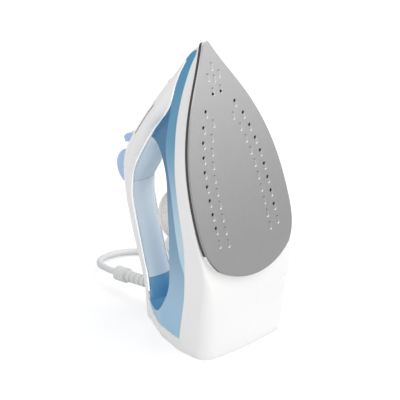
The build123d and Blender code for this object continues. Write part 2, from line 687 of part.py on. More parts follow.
# Sole plate with its dimples; the outer row's dimples and two at the nose hold steam holes
holes = []
dimples = list(NOSE_DIMPLES)
for i in range(OUTER_HOLES + 1):
    x = HOLE_START - i * HOLE_PITCH
    y = along(HOLE_LINE, x)[0]
    dimples += [(x - DIMPLE_LENGTH / 2, y), (x - DIMPLE_LENGTH / 2, -y)]
    if i < OUTER_HOLES:
        holes += [(x, y), (x, -y)]
for i in range(INNER_DIMPLES):
    x = INNER_START - i * INNER_PITCH
    y = along(INNER_LINE, x)[0]
    dimples += [(x, y), (x, -y)]
for x, y in NOSE_HOLES:
    holes.append((x, y))
    dimples.append((x + DIMPLE_LENGTH / 2, y))
with BuildPart() as soleplate:
    add(sole_slab(PLATE_EDGE, 0, PLATE_EDGE))
    add(sole_slab(0, PLATE_EDGE, PLATE))
    with BuildSketch(level(0)):
        with Locations(*dimples):
            SlotCenterToCenter(DIMPLE_LENGTH, DIMPLE_WIDTH)
    extrude(amount=DIMPLE_DEPTH, taper=DIMPLE_SLOPE, mode=Mode.SUBTRACT)
    with BuildSketch(level(0)):
        with Locations(*holes):
            Circle(HOLE_RADIUS)
    extrude(amount=PLATE, mode=Mode.SUBTRACT)
save(soleplate.part, "soleplate")

# Dark shield in the groove between the sole and the skirt
with BuildPart() as heat_shield:
    add(sole_ring(SHIELD_INSET, SKIRT_OPENING, PLATE, SKIRT_RISE - SHIELD_GAP))
    add(block(SHIELD_END, FAR_NOSE, HALF_SPAN, 0, SKIRT_RISE), mode=Mode.INTERSECT)
save(heat_shield.part, "heat_shield")

# Heater: a cast block with the element in it, a steam chamber on top and a gallery over the holes
element_points = [iron(x, y, ELEMENT_Z) for x, y in ELEMENT_RUN]
with BuildPart() as heating_element:
    add(tube(element_points, ELEMENT_RADIUS, ELEMENT_BEND))
    for y in (-PIN_Y, PIN_Y):
        add(post(PIN_X, y, ELEMENT_Z, PIN_TOP, PIN_RADIUS))
save(heating_element.part, "heating_element")
with BuildPart() as heater_block:
    add(sole_slab(BLOCK_INSET, PLATE, BLOCK_TOP))
    with BuildSketch(level(PLATE)):
        with BuildLine():
            outside = Spline(*shifted(HOLE_LINE, GALLERY_HALF))
            inside = Spline(*shifted(HOLE_LINE, -GALLERY_HALF))
            Line(outside @ 0, inside @ 0)
            mirror(about=Plane.XZ)
            ThreePointArc(outside @ 1, (GALLERY_NOSE, 0), ((outside @ 1).X, -(outside @ 1).Y))
            Line(inside @ 1, ((inside @ 1).X, -(inside @ 1).Y))
        make_face()
    extrude(amount=GALLERY_TOP - PLATE, mode=Mode.SUBTRACT)
    add(block(*CHAMBER, CHAMBER_FLOOR, BLOCK_TOP + OVERCUT), mode=Mode.SUBTRACT)
    add(block(CROSS_X - CROSS_HALF, CROSS_X + CROSS_HALF, CROSS_REACH, 0, GALLERY_TOP), mode=Mode.SUBTRACT)
    add(post(CROSS_X, 0, PLATE, BLOCK_TOP, CROSS_BORE), mode=Mode.SUBTRACT)
    add(tube(element_points, ELEMENT_RADIUS + ELEMENT_GAP, ELEMENT_BEND), mode=Mode.SUBTRACT)
    for y in (-PIN_Y, PIN_Y):
        add(post(PIN_X, y, ELEMENT_Z, BLOCK_TOP + OVERCUT, PIN_RADIUS + ELEMENT_GAP), mode=Mode.SUBTRACT)
        low, high = ELEMENT_Z - END_SLOT, ELEMENT_Z + END_SLOT
        add(block(END_SLOT_X, PIN_X, ELEMENT_RADIUS + ELEMENT_GAP, low, high, y), mode=Mode.SUBTRACT)
save(heater_block.part, "heater_block")
with BuildPart() as chamber_cover:
    add(block(*LID, BLOCK_TOP, LID_TOP))
    add(post(ROD_X, 0, BLOCK_TOP - OVERCUT, LID_TOP + OVERCUT, ROD_RADIUS + RUN_GAP), mode=Mode.SUBTRACT)
    add(post(BOOST_X, BOOST_Y, BLOCK_TOP - OVERCUT, LID_TOP + OVERCUT, BOOST_PORT), mode=Mode.SUBTRACT)
save(chamber_cover.part, "chamber_cover")
with BuildPart() as steam_valve_seat:
    add(post(ROD_X, 0, LID_TOP, SEAT_TOP, SEAT_RADIUS))
    add(post(ROD_X, 0, LID_TOP - OVERCUT, SEAT_TOP + OVERCUT, ROD_RADIUS + RUN_GAP), mode=Mode.SUBTRACT)
save(steam_valve_seat.part, "steam_valve_seat")
with BuildPart() as thermostat:
    add(post(DIAL_X, 0, BLOCK_TOP, THERMOSTAT_STEP, THERMOSTAT_RADIUS))
    add(post(DIAL_X, 0, THERMOSTAT_STEP, THERMOSTAT_TOP, THERMOSTAT_NECK))
save(thermostat.part, "thermostat")
with BuildPart() as thermal_fuse:
    add(block(*FUSE, BLOCK_TOP, BLOCK_TOP + 2 * FUSE[2]))
    fillet(thermal_fuse.faces().sort_by(Axis(SOLE_END, RISE_WAY))[-1].edges(), radius=FUSE_EDGE)
save(thermal_fuse.part, "thermal_fuse")

# Temperature dial on its shaft, which reaches down through the tank to the thermostat
with BuildPart() as temperature_dial:
    add(post(DIAL_X, 0, DIAL_FLOOR, DIAL_TOP, DIAL_RADIUS))
    chamfer(temperature_dial.faces().sort_by(Axis(SOLE_END, RISE_WAY))[-1].edges(), DIAL_CHAMFER)
    with BuildSketch(level(DIAL_FLOOR)):
        with Locations((DIAL_X, 0)):
            with PolarLocations(NOTCH_RING, DIAL_NOTCHES):
                Circle(NOTCH_RADIUS)
    extrude(amount=NOTCH_HEIGHT, mode=Mode.SUBTRACT)
    rim_ring = post(DIAL_X, 0, *DIAL_GROOVE, DIAL_RADIUS)
    add(rim_ring - post(DIAL_X, 0, *DIAL_GROOVE, DIAL_RADIUS - GROOVE_DEPTH), mode=Mode.SUBTRACT)
    add(post(DIAL_X, 0, DIAL_FLOOR - OVERCUT, SHAFT_TOP, SHAFT_RADIUS), mode=Mode.SUBTRACT)
save(temperature_dial.part, "temperature_dial")
with BuildPart() as dial_shaft:
    add(post(DIAL_X, 0, SHAFT_LOW, SHAFT_TOP, SHAFT_RADIUS))
save(dial_shaft.part, "dial_shaft")

# Two keys on the handle, each over a small pump


def key_body(side):
    """A key: the top of a disc, hollow under its middle, on one side of the handle."""
    with BuildPart() as key:
        with BuildSketch(SIDE.offset(-KEY_SIDE - KEY_WIDTH if side > 0 else KEY_SIDE)):
            with Locations((KEY_X, KEY_Z)):
                Circle(KEY_RADIUS)
            above = [*KEY_LINE, (KEY_LINE[1][0], FAR_TOP), (KEY_LINE[0][0], FAR_TOP)]
            Polygon(*above, align=None, mode=Mode.INTERSECT)
        extrude(amount=KEY_WIDTH)
        outside = key.faces().sort_by(Axis.X)[-1 if side > 0 else 0]
        fillet(outside.edges().filter_by(GeomType.CIRCLE), radius=KEY_EDGE)
        add(post(PUMP_X, side * PUMP_Y, 0, POCKET_TOP, POCKET_RADIUS), mode=Mode.SUBTRACT)
    return key.part


def pump_parts(side):
    """Piston, barrel and return spring of one pump."""
    y = side * PUMP_Y
    with BuildPart() as piston:
        add(post(PUMP_X, y, PISTON_LOW, POCKET_TOP, PISTON_RADIUS))
    with BuildPart() as barrel:
        add(post(PUMP_X, y, PUMP_FLOOR, PUMP_TOP, PUMP_RADIUS))
        bore = PISTON_RADIUS + FIT
        add(post(PUMP_X, y, PUMP_FLOOR + PUMP_BASE, PUMP_TOP + OVERCUT, bore), mode=Mode.SUBTRACT)
    low = PUMP_TOP + SPRING_WIRE + FIT
    height = POCKET_TOP - SPRING_WIRE - FIT - low
    with BuildPart() as spring:
        with BuildLine() as coil:
            foot = iron(PUMP_X, y, low)
            Helix(height / SPRING_TURNS, height, SPRING_RADIUS, center=foot, direction=RISE_WAY)
        with BuildSketch(coil.line ^ 0):
            Circle(SPRING_WIRE)
        sweep(path=coil.line)
    return piston.part, barrel.part, spring.part


save(key_body(-1), "spray_button")
save(key_body(1), "steam_boost_button")
for side, name in ((-1, "spray"), (1, "boost")):
    piston, barrel, spring = pump_parts(side)
    save(piston, f"{name}_piston")
    save(barrel, f"{name}_pump")
    save(spring, f"{name}_spring")
with BuildPart() as pump_bracket:
    add(block(PUMP_X - BRACKET_HALF, PUMP_X + BRACKET_HALF, HALF_SPAN, PUMP_FLOOR - BRACKET, PUMP_FLOOR))
    add(grip_inner, mode=Mode.INTERSECT)
save(pump_bracket.part, "pump_bracket")

# Steam lever: a fin over the cover, a stem through its slot and a foot over the steam rod
with BuildPart() as steam_lever:
    with BuildSketch(SIDE):
        Polygon(*LEVER_SIDE_VIEW, align=None)
    extrude(amount=LEVER_HALF_WIDTH, both=True)
    fillet(steam_lever.faces().sort_by(Axis(SOLE_END, RISE_WAY))[-1].edges(), radius=LEVER_EDGE)
    add(block(*STEM, FOOT_HIGH - WELD, STEM_TOP))
    add(block(*FOOT_PAD, FOOT_LOW, FOOT_HIGH))
save(steam_lever.part, "steam_lever")
with BuildPart() as steam_rod:
    add(post(ROD_X, 0, ROD_LOW, ROD_HIGH, ROD_RADIUS))
save(steam_rod.part, "steam_rod")

# Handle cover with its slots, and the filling door cut from the front of it
DOOR_UP = NOSE_WAY * DOOR_SLOPE[0] + RISE_WAY * DOOR_SLOPE[1]
DOOR_OUT = NOSE_WAY * DOOR_SLOPE[1] - RISE_WAY * DOOR_SLOPE[0]
DOOR = Plane(iron(DOOR_AT[0], 0, DOOR_AT[1]), x_dir=DOOR_UP, z_dir=DOOR_OUT)


def door_block(low_x, high_x, low_y, high_y, low_z, high_z):
    """Block square to the filling door."""
    with BuildPart(mode=Mode.PRIVATE) as bar:
        with BuildSketch(DOOR.offset(low_z)):
            with Locations(((low_x + high_x) / 2, (low_y + high_y) / 2)):
                Rectangle(high_x - low_x, high_y - low_y)
        extrude(amount=high_z - low_z)
    return bar.part


def hinge_bar(low_y, high_y, radius):
    """Round bar on the door's hinge axis."""
    start = DOOR.from_local_coords(Vector(HINGE_AT[0], low_y, HINGE_AT[1]))
    way = (DOOR.from_local_coords(Vector(HINGE_AT[0], high_y, HINGE_AT[1])) - start).normalized()
    with BuildPart(mode=Mode.PRIVATE) as bar:
        with BuildSketch(Plane(start, z_dir=way)):
            Circle(radius)
        extrude(amount=high_y - low_y)
    return bar.part


NOZZLE_OUT = NOSE_WAY * 0.8 + RISE_WAY * 0.6
NOZZLE = Plane(iron(NOZZLE_X, 0, NOZZLE_Z), z_dir=NOZZLE_OUT)
GUARD_WAY = RISE_WAY * cos(radians(GUARD_TILT)) + NOSE_WAY * sin(radians(GUARD_TILT))
GUARD = Plane(iron(*GUARD_ROOT), x_dir=(1, 0, 0), z_dir=GUARD_WAY)


def rod_along(plane, low, high, radius):
    """Round rod along a plane's normal."""
    with BuildPart(mode=Mode.PRIVATE) as rod:
        with BuildSketch(plane.offset(low)):
            Circle(radius)
        extrude(amount=high - low)
    return rod.part


with BuildPart() as cover_shell:
    add(shell.part)
    extrude(cover_region.sketch, amount=HALF_SPAN, both=True, mode=Mode.INTERSECT)
    add(heel_slab.part, mode=Mode.SUBTRACT)
main_shell = cover_shell.solids().sort_by(SortBy.VOLUME)[-1]
with BuildPart() as handle_cover:
    add(main_shell)
    below = -DOOR_DEPTH - DOOR_GAP
    nose_end = -DOOR_REACH - DOOR_NOSE_GAP
    add(door_block(nose_end, HINGE_AT[0], -HALF_SPAN, HALF_SPAN, below, DOOR_FAR), mode=Mode.SUBTRACT)
    notch_end = HINGE_AT[0] + HINGE_NOTCH
    add(door_block(0, notch_end, -NOTCH_HALF, NOTCH_HALF, below, DOOR_FAR), mode=Mode.SUBTRACT)
    for low, high in (EAR, (-EAR[1], -EAR[0])):
        ear_end = HINGE_AT[0] + EAR_REACH
        add(door_block(HINGE_AT[0], ear_end, low, high, HINGE_AT[1] - KNUCKLE_RADIUS, HINGE_AT[1]))
        add(hinge_bar(low, high, KNUCKLE_RADIUS))
    add(hinge_bar(-EAR[1] - OVERCUT, EAR[1] + OVERCUT, DOOR_PIN + FIT), mode=Mode.SUBTRACT)
    reach = KEY_RADIUS + SEAM
    width = KEY_SIDE + KEY_WIDTH + SEAM
    add(block(KEY_X - reach, KEY_X + reach, width, KEY_LINE[1][1], FAR_TOP), mode=Mode.SUBTRACT)
    width = STEM[2] + LEVER_TRAVEL + SEAM
    add(block(STEM[0] - SEAM, STEM[1] + SEAM, width, SLOT_LOW, FAR_TOP), mode=Mode.SUBTRACT)
    add(rod_along(NOZZLE, *NOZZLE_HOLE, NOZZLE_RADIUS + FIT), mode=Mode.SUBTRACT)
    add(rod_along(GUARD, 0, GUARD_HOLE, GUARD_NECK + FIT), mode=Mode.SUBTRACT)
    add(post(LENS_X, 0, LENS_LOW - OVERCUT, FAR_TOP, LENS_RADIUS + FIT), mode=Mode.SUBTRACT)
save(handle_cover.part, "handle_cover")
with BuildPart() as fill_door:
    add(main_shell)
    panel = door_block(-DOOR_REACH, DOOR_REACH, -HALF_SPAN, HALF_SPAN, -DOOR_DEPTH, DOOR_FAR)
    add(panel, mode=Mode.INTERSECT)
    notch = HINGE_AT[0] - KNUCKLE_RADIUS - SEAM
    for low, high in (EAR, (-EAR[1], -EAR[0])):
        add(door_block(notch, DOOR_REACH, low - SEAM, high + SEAM, -DOOR_DEPTH, DOOR_FAR), mode=Mode.SUBTRACT)
    add(hinge_bar(-KNUCKLE_HALF, KNUCKLE_HALF, KNUCKLE_RADIUS))
    add(hinge_bar(-EAR[1] - OVERCUT, EAR[1] + OVERCUT, DOOR_PIN + FIT), mode=Mode.SUBTRACT)
save(fill_door.part, "fill_door")
with BuildPart() as door_pin:
    add(hinge_bar(-EAR[1], EAR[1], DOOR_PIN))
save(door_pin.part, "door_pin")
with BuildPart() as fill_funnel:
    add(post(FILLER_X, 0, FILLER_LOW, FUNNEL_TOP, FILLER_RADIUS + FUNNEL_WALL))
    add(post(FILLER_X, 0, FILLER_LOW - OVERCUT, FUNNEL_TOP + OVERCUT, FILLER_RADIUS), mode=Mode.SUBTRACT)
    extrude(tank_region.sketch, amount=HALF_SPAN, both=True, mode=Mode.SUBTRACT)
save(fill_funnel.part, "fill_funnel")
with BuildPart() as indicator_lens:
    add(post(LENS_X, 0, LENS_LOW, LENS_TOP, LENS_RADIUS))
    fillet(indicator_lens.faces().sort_by(Axis(SOLE_END, RISE_WAY))[-1].edges(), radius=LENS_EDGE)
save(indicator_lens.part, "indicator_lens")

# Spray nozzle and the two hoses from the pumps
with BuildPart() as spray_nozzle:
    add(rod_along(NOZZLE, -NOZZLE_DEPTH, NOZZLE_TIP, NOZZLE_RADIUS))
    add(rod_along(NOZZLE, *JET), mode=Mode.SUBTRACT)
save(spray_nozzle.part, "spray_nozzle")
with BuildPart() as spray_hose:
    add(tube([iron(x, -y, z) for x, y, z in HOSE_SIDE + SPRAY_FRONT], HOSE_RADIUS, HOSE_BEND))
save(spray_hose.part, "spray_hose")
with BuildPart() as boost_hose:
    add(tube([iron(x, y, z) for x, y, z in HOSE_SIDE + BOOST_FRONT], HOSE_RADIUS, HOSE_BEND))
save(boost_hose.part, "boost_hose")

# Mains connection in the heel: terminal block on the heel plate, cord wires and heater leads
with BuildPart() as terminal_block:
    with BuildSketch(Plane((0, TERMINAL_Y, HEEL_PLATE))):
        Rectangle(TERMINAL[0], TERMINAL[1])
    extrude(amount=TERMINAL[2])
    fillet(terminal_block.faces().sort_by(Axis.Z)[-1].edges(), radius=TERMINAL_EDGE)
save(terminal_block.part, "terminal_block")
terminal_back = TERMINAL_Y + TERMINAL[1] / 2
terminal_front = TERMINAL_Y - TERMINAL[1] / 2
guard_end = iron(*GUARD_ROOT)
with BuildPart() as cord_wires:
    for x in (-1, 0, 1):
        start = guard_end + Vector(CORE_GAP * x, 0, 0) - GUARD_WAY * FIT
        turns = [start - GUARD_WAY * CORE_RUN, iron(WIRE_TURN[0], CORE_GAP * x, WIRE_TURN[1])]
        finish = [(WIRE_GAP * x, y, WIRE_HEIGHT) for y in (WIRE_DROP, terminal_back)]
        add(tube([start, *turns, *finish], WIRE_RADIUS, WIRE_BEND))
save(cord_wires.part, "cord_wires")
with BuildPart() as heater_leads:
    for y in (-1, 1):
        ends = (terminal_front, terminal_front - LEAD_RUN)
        points = [(WIRE_GAP * y, end, LEAD_HEIGHT) for end in ends]
        points += [iron(lead_x, lead_y * y, lead_z) for lead_x, lead_y, lead_z in LEAD_ROUTE]
        add(tube(points, WIRE_RADIUS, WIRE_BEND))
save(heater_leads.part, "heater_leads")

# Ribbed guard, mains cord, its put-away coil and the plug
with BuildPart() as cord_guard:
    with BuildSketch(Plane(GUARD.origin, x_dir=(1, 0, 0), z_dir=Vector(1, 0, 0).cross(GUARD_WAY))):
        with BuildLine():
            flange_low, flange_high, flange_radius = GUARD_FLANGE
            outline = [(0, 0), (GUARD_NECK, 0), (GUARD_NECK, flange_low), (flange_radius, flange_low)]
            outline += [(flange_radius, flange_high), (GUARD_NECK, flange_high), (GUARD_NECK, RIB_START)]
            for i in range(GUARD_RIBS):
                low = RIB_START + i * RIB_PITCH
                high = low + RIB_WIDTH
                outline += [(RIB_RADIUS, low), (RIB_RADIUS, high)]
                outline += [(RIB_ROOT, high), (RIB_ROOT, low + RIB_PITCH)]
            outline += [(COLLAR_RADIUS, COLLAR_START), (COLLAR_RADIUS, COLLAR_END), (0, COLLAR_END)]
            Polyline(*outline, close=True)
        make_face()
    revolve(axis=Axis(GUARD.origin, GUARD_WAY))
save(cord_guard.part, "cord_guard")
CORD_START = GUARD.from_local_coords(Vector(0, 0, COLLAR_END))


def cord_bends(points):
    """Bend radius at each inner point of a cord's route, as large as its two runs allow."""
    bends = []
    for before, here, after in zip(points, points[1:], points[2:]):
        run_in, run_out = here - before, after - here
        half_turn = radians(run_in.get_angle(run_out)) / 2
        bends.append(BEND_SHARE * min(run_in.length, run_out.length) / tan(half_turn))
    return bends


cord_points = [CORD_START, CORD_START + GUARD_WAY * CORD_FIRST_RUN]
cord_points += [Vector(*point) for point in CORD_ROUTE]
bends = cord_bends(cord_points)
print("cord bends", [round(bend, 1) for bend in bends])
with BuildPart() as mains_cord:
    with BuildLine() as cord_line:
        FilletPolyline(*cord_points, radius=bends)
    with BuildSketch(Plane(CORD_START, z_dir=GUARD_WAY)):
        Circle(CORD / 2)
    sweep(path=cord_line.line)
cord_length = cord_line.wires()[0].length
cord_section = pi * CORD**2 / 4
cord_fill = mains_cord.part.volume / (cord_section * cord_length)
print("cord stretch", round(cord_length), "filled", round(cord_fill, 3))
save(mains_cord.part, "mains_cord")

# Put-away coil: half turns spiral in, climb a layer, spiral out again and run to the plug
coil_start = cord_points[-1]
with BuildPart() as cord_coil:
    with BuildLine() as coil_line:
        here = coil_start - Vector(0, CORD, 0)
        Line(coil_start, here)
        radius = COIL_RADIUS
        way = 1
        for half_turn in range(INWARD_HALVES + 1 + OUTWARD_HALVES):
            rise = LAYER_RISE if half_turn == INWARD_HALVES else 0
            span = Vector(2 * radius * way, 0, rise)
            ThreePointArc(here, here + span / 2 - Vector(0, way * span.length / 2, 0), here + span)
            here += span
            way = -way
            radius += TURN_PITCH / 2 * (-1 if half_turn < INWARD_HALVES else 1)
        tail_end = Vector(here.X, PLUG_BACK, here.Z)
        Line(here, tail_end)
    with BuildSketch(Plane(coil_start, z_dir=(0, -1, 0))):
        Circle(CORD / 2)
    sweep(path=coil_line.line)
coil_wire = coil_line.wires()[0]
coil_length = coil_wire.length
coil_points = [coil_wire.position_at(i / GAP_SAMPLES) for i in range(GAP_SAMPLES + 1)]
skip = ceil(GAP_SAMPLES * GAP_SKIP * CORD / coil_length)
least_gap = min(
    (coil_points[i] - coil_points[j]).length - CORD
    for i in range(GAP_SAMPLES + 1)
    for j in range(i + skip, GAP_SAMPLES + 1)
)
print("coil", round(coil_length), "filled", round(cord_coil.part.volume / (cord_section * coil_length), 3))
print("least gap in the coil", round(least_gap, 2))
save(cord_coil.part, "cord_coil")
with BuildPart() as plug_body:
    with BuildSketch(Plane(tail_end, x_dir=(1, 0, 0), z_dir=(0, -1, 0))):
        RectangleRounded(PLUG[0], PLUG[2], PLUG_CORNER)
    extrude(amount=PLUG[1])
    fillet(plug_body.faces().sort_by(Axis.Y)[-1].edges(), radius=PLUG_EDGE)
save(plug_body.part, "plug_body")
with BuildPart() as plug_pins:
    with BuildSketch(Plane(tail_end - Vector(0, PLUG[1], 0), x_dir=(1, 0, 0), z_dir=(0, -1, 0))):
        with Locations((-PLUG_PINS / 2, 0), (PLUG_PINS / 2, 0)):
            Circle(PLUG_PIN_RADIUS)
    extrude(amount=PLUG_PINS)
save(plug_pins.part, "plug_pins")
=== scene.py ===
# %% [markdown]
# # A steam iron standing on its heel
# The CAD model is the fixed frame: every solid is already in place, in metres, with +Z up and the table
# at Z = 0. This lesson adds what CAD leaves plain: a supple mains cord, a bright lip along the cover,
# copies of the keys' springs, marks on the heat dial, and a finish for every surface.

# %% Load the frame
import json
from math import cos, pi, radians, sin

import bmesh
import bpy
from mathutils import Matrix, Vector


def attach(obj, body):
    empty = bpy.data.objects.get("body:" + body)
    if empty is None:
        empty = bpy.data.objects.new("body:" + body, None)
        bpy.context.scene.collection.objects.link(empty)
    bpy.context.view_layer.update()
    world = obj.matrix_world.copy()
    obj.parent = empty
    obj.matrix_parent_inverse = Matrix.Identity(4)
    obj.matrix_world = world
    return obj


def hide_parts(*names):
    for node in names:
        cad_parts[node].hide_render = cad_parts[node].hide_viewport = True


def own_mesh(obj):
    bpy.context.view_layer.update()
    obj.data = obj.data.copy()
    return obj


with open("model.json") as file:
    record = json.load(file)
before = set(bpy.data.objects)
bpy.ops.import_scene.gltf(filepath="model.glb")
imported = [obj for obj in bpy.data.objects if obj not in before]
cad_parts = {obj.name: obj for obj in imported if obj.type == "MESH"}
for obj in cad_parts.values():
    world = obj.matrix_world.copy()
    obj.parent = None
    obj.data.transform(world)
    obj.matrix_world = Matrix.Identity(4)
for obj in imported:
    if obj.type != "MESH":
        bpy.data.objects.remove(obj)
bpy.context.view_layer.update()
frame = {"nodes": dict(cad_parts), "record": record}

nodes = frame["nodes"]
scene = bpy.context.scene
scene.view_settings.view_transform = "Standard"

# %% [markdown]
# ## The camera
# The picture was taken from a long way off with a long lens, so upright edges hardly converge. A camera
# aimed by its azimuth and elevation round a target is easy to read and to correct; a constraint would do
# the same, but leaves one more thing in the scene.

# %% Camera
CAMERA_TARGET = Vector((-0.0499, -0.0445, 0.1616))
CAMERA_AZIMUTH = radians(-45.29)
CAMERA_ELEVATION = radians(24.707)
CAMERA_DISTANCE = 2.77
CAMERA_LENS = 273.6
SENSOR_WIDTH = 36.0


def placed(name, data):
    """New object of the scene that shows the given data."""
    made = bpy.data.objects.new(name, data)
    scene.collection.objects.link(made)
    return made


towards_camera = Vector((
    cos(CAMERA_ELEVATION) * sin(CAMERA_AZIMUTH),
    -cos(CAMERA_ELEVATION) * cos(CAMERA_AZIMUTH),
    sin(CAMERA_ELEVATION),
))
camera = placed("camera", bpy.data.cameras.new("camera"))
camera.data.lens = CAMERA_LENS
camera.data.sensor_width = SENSOR_WIDTH
camera.location = CAMERA_TARGET + towards_camera * CAMERA_DISTANCE
camera.rotation_euler = towards_camera.to_track_quat("Z", "Y").to_euler()
scene.camera = camera
print("camera at", [round(c, 3) for c in camera.location])

# %% [markdown]
# ## The iron's own axes
# The sole leans 18 degrees back from upright. Distances along the sole, across it and away from it are
# easier to think about than world X, Y and Z, so one function turns millimetres of the iron into metres
# of the world.

# %% Iron axes
LEAN = radians(18.0)
NOSE_WAY = Vector((0, sin(LEAN), cos(LEAN)))
RISE_WAY = Vector((0, cos(LEAN), -sin(LEAN)))
ACROSS = Vector((1, 0, 0))
SOLE_END = Vector((0, -0.071, 0.080))
SOLE_LENGTH = 222
MM = 0.001


def iron(x, y, z):
    """World point of iron coordinates: x to the nose, y across, z away from the sole, in millimetres."""
    return SOLE_END + NOSE_WAY * (x * MM) + ACROSS * (y * MM) + RISE_WAY * (z * MM)


print("nose at", [round(c, 3) for c in iron(SOLE_LENGTH, 0, 0)])

# %% [markdown]
# ## The mains cord
# A mains cord is a fixed length of something supple: it leaves the ribbed guard straight, drops to the
# table, turns round behind the heel and lies in a neat coil. It could be a mesh tube, but one NURBS spline
# with the route's points as its control points is smooth by nature. The turns of the coil come from a
# loop, half a turn at a time: inwards on the table, up one layer, and outwards again to the plug.

# %% Cord route
CORD_DIAMETER = 0.0065
GUARD_TILT = radians(12.5)
GUARD_LENGTH = 0.0564
GUARD_ROOT = iron(-15.9, 0, 144.0)
GUARD_WAY = RISE_WAY * cos(GUARD_TILT) + NOSE_WAY * sin(GUARD_TILT)
CORD_FIRST_RUN = 0.0235
CORD_REST = 0.0033
cord_exit = GUARD_ROOT + GUARD_WAY * GUARD_LENGTH
cord_points = [
    cord_exit,
    cord_exit + GUARD_WAY * CORD_FIRST_RUN,
    Vector((0.014, 0.160, 0.0086)),
    Vector((0.037, 0.1675, 0.005)),
    Vector((0.060, 0.160, 0.0035)),
    Vector((0.074, 0.1405, CORD_REST)),
    Vector((0.074, 0.117, CORD_REST)),
]
print("cord leaves the guard at", [round(c, 4) for c in cord_exit])

# %% Coil of the spare length
COIL_RADIUS = 0.0512
COIL_STEP = 0.0036
COIL_LIFT = 0.0008
LAYER_RISE = 0.0071
INWARD_HALVES = 9
OUTWARD_HALVES = 6
HALF_TURN_POINTS = 12
PLUG_BACK = 0.052
turn_step = pi / HALF_TURN_POINTS
here = cord_points[-1] - Vector((0, CORD_DIAMETER, 0)) + Vector((0, 0, COIL_LIFT))
cord_points.append(here.copy())
coil_middle = here + Vector((COIL_RADIUS, 0, 0))
radius = COIL_RADIUS
way = 1
for half in range(INWARD_HALVES + 1 + OUTWARD_HALVES):
    climb = LAYER_RISE if half == INWARD_HALVES else 0.0
    middle = here + Vector((radius * way, 0, climb / 2))
    # Control points lie a little outside the arc that they draw
    reach = radius / cos(turn_step / 2) * way
    for i in range(HALF_TURN_POINTS):
        turn = (i + 0.5) * turn_step
        rise = climb * (turn / pi - 0.5)
        cord_points.append(middle + Vector((-cos(turn) * reach, -sin(turn) * reach, rise)))
    here = here + Vector((2 * radius * way, 0, climb))
    way = -way
    radius += COIL_STEP * (-1 if half < INWARD_HALVES else 1)
plug_end = Vector((here.x, PLUG_BACK, here.z - COIL_LIFT))
cord_points += [here.lerp(plug_end, 0.5), plug_end]
print("coil ends at the plug", [round(c, 3) for c in plug_end])

# %% [markdown]
# The bevel gives a curve its thickness. Each point's radius is the real one, times a bevel depth of one,
# so that the curve's box is right as well. A spline's order and ends are set after its points are there.

# %% Cord curve
CORD_ROUNDNESS = 5
CORD_SMOOTHNESS = 6


def bevelled_curve(name, roundness):
    """Empty curve with closed ends that is as thick as its points' radii say."""
    line = bpy.data.curves.new(name, "CURVE")
    line.dimensions = "3D"
    line.bevel_depth = 1.0
    line.bevel_resolution = roundness
    line.use_fill_caps = True
    return line


cord_line = bevelled_curve("power_cord", CORD_ROUNDNESS)
spline = cord_line.splines.new("NURBS")
spline.points.add(len(cord_points) - 1)
for point, place in zip(spline.points, cord_points):
    point.co = (*place, 1.0)
    point.radius = CORD_DIAMETER / 2
spline.order_u = 3
spline.use_endpoint_u = True
spline.resolution_u = CORD_SMOOTHNESS
power_cord = placed("power_cord", cord_line)
print("cord of", len(cord_points), "points")

# %% [markdown]
# ## Small mesh helpers
# Most added pieces are made of rings of points: a turned shape is rings round an axis, a strap or a bump
# is a row of cross-sections. One helper joins rings into a skin, one makes the object and shades it
# smooth, and one turns a profile.

# %% Mesh helpers
def mesh_piece(name, build):
    """New object whose mesh is filled in by a function of a bmesh."""
    mesh = bpy.data.meshes.new(name)
    work = bmesh.new()
    build(work)
    bmesh.ops.recalc_face_normals(work, faces=work.faces)
    work.to_mesh(mesh)
    work.free()
    for face in mesh.polygons:
        face.use_smooth = True
    return placed(name, mesh)


def rings_to_tube(work, rings, closed=False):
    """Join rings of points, all of one length, into a skin; cap the ends unless the tube is closed."""
    made = [[work.verts.new(point) for point in ring] for ring in rings]
    count = len(made[0])
    pairs = list(zip(made, made[1:]))
    if closed:
        pairs.append((made[-1], made[0]))
    for first, second in pairs:
        for i in range(count):
            work.faces.new((first[i], first[(i + 1) % count], second[(i + 1) % count], second[i]))
    if not closed:
        work.faces.new(made[0])
        work.faces.new(made[-1])


def once_round(sides):
    """Angles of a number of sides, once round."""
    return [2 * pi * i / sides for i in range(sides)]


def turned(name, base, axis, profile, sides=32):
    """Piece turned about an axis: the profile is (distance along the axis, radius) in metres."""
    out = axis.orthogonal().normalized()
    other = axis.cross(out)
    rings = []
    for along, size in profile:
        centre = base + axis * along
        rings.append([centre + (out * cos(a) + other * sin(a)) * size for a in once_round(sides)])
    return mesh_piece(name, lambda work: rings_to_tube(work, rings))


print("helpers ready")

# %% [markdown]
# ## Boot and tie of the cord
# The plug is moulded on the cord, with a stepped boot that keeps the cord from kinking, and the coil is
# held by a flat strap. A cone and a flattened torus would be quicker, but would lose the boot's steps and
# the strap's even thickness. So the boot is turned from a profile, and the strap is a rounded loop of
# cross-sections round the bundle of turns.

# %% Plug boot
BOOT_WAY = Vector((0, 1, 0))
BOOT_PROFILE = [
    (-0.001, 0.0068), (0.004, 0.0066), (0.0045, 0.0058), (0.007, 0.0058), (0.0075, 0.0064),
    (0.010, 0.0061), (0.0105, 0.0053), (0.013, 0.0053), (0.0135, 0.0058), (0.016, 0.0055),
    (0.0165, 0.0048), (0.019, 0.0047), (0.022, 0.0042), (0.0224, 0.0034),
]
plug_boot = turned("plug_boot", plug_end, BOOT_WAY, BOOT_PROFILE)
print("boot", BOOT_PROFILE[-1][0], "m long")

# %% Coil tie
TIE_WIDTH = 0.009
TIE_THICK = 0.0006
TIE_ROUND = 0.006
TIE_LIFT = 0.00005
CORNER_TURN = 15
CORNER_POINTS = 7
BUNDLE_INNER = 0.0172
BUNDLE_OUTER = 0.0549
BUNDLE_TOP = 0.0150


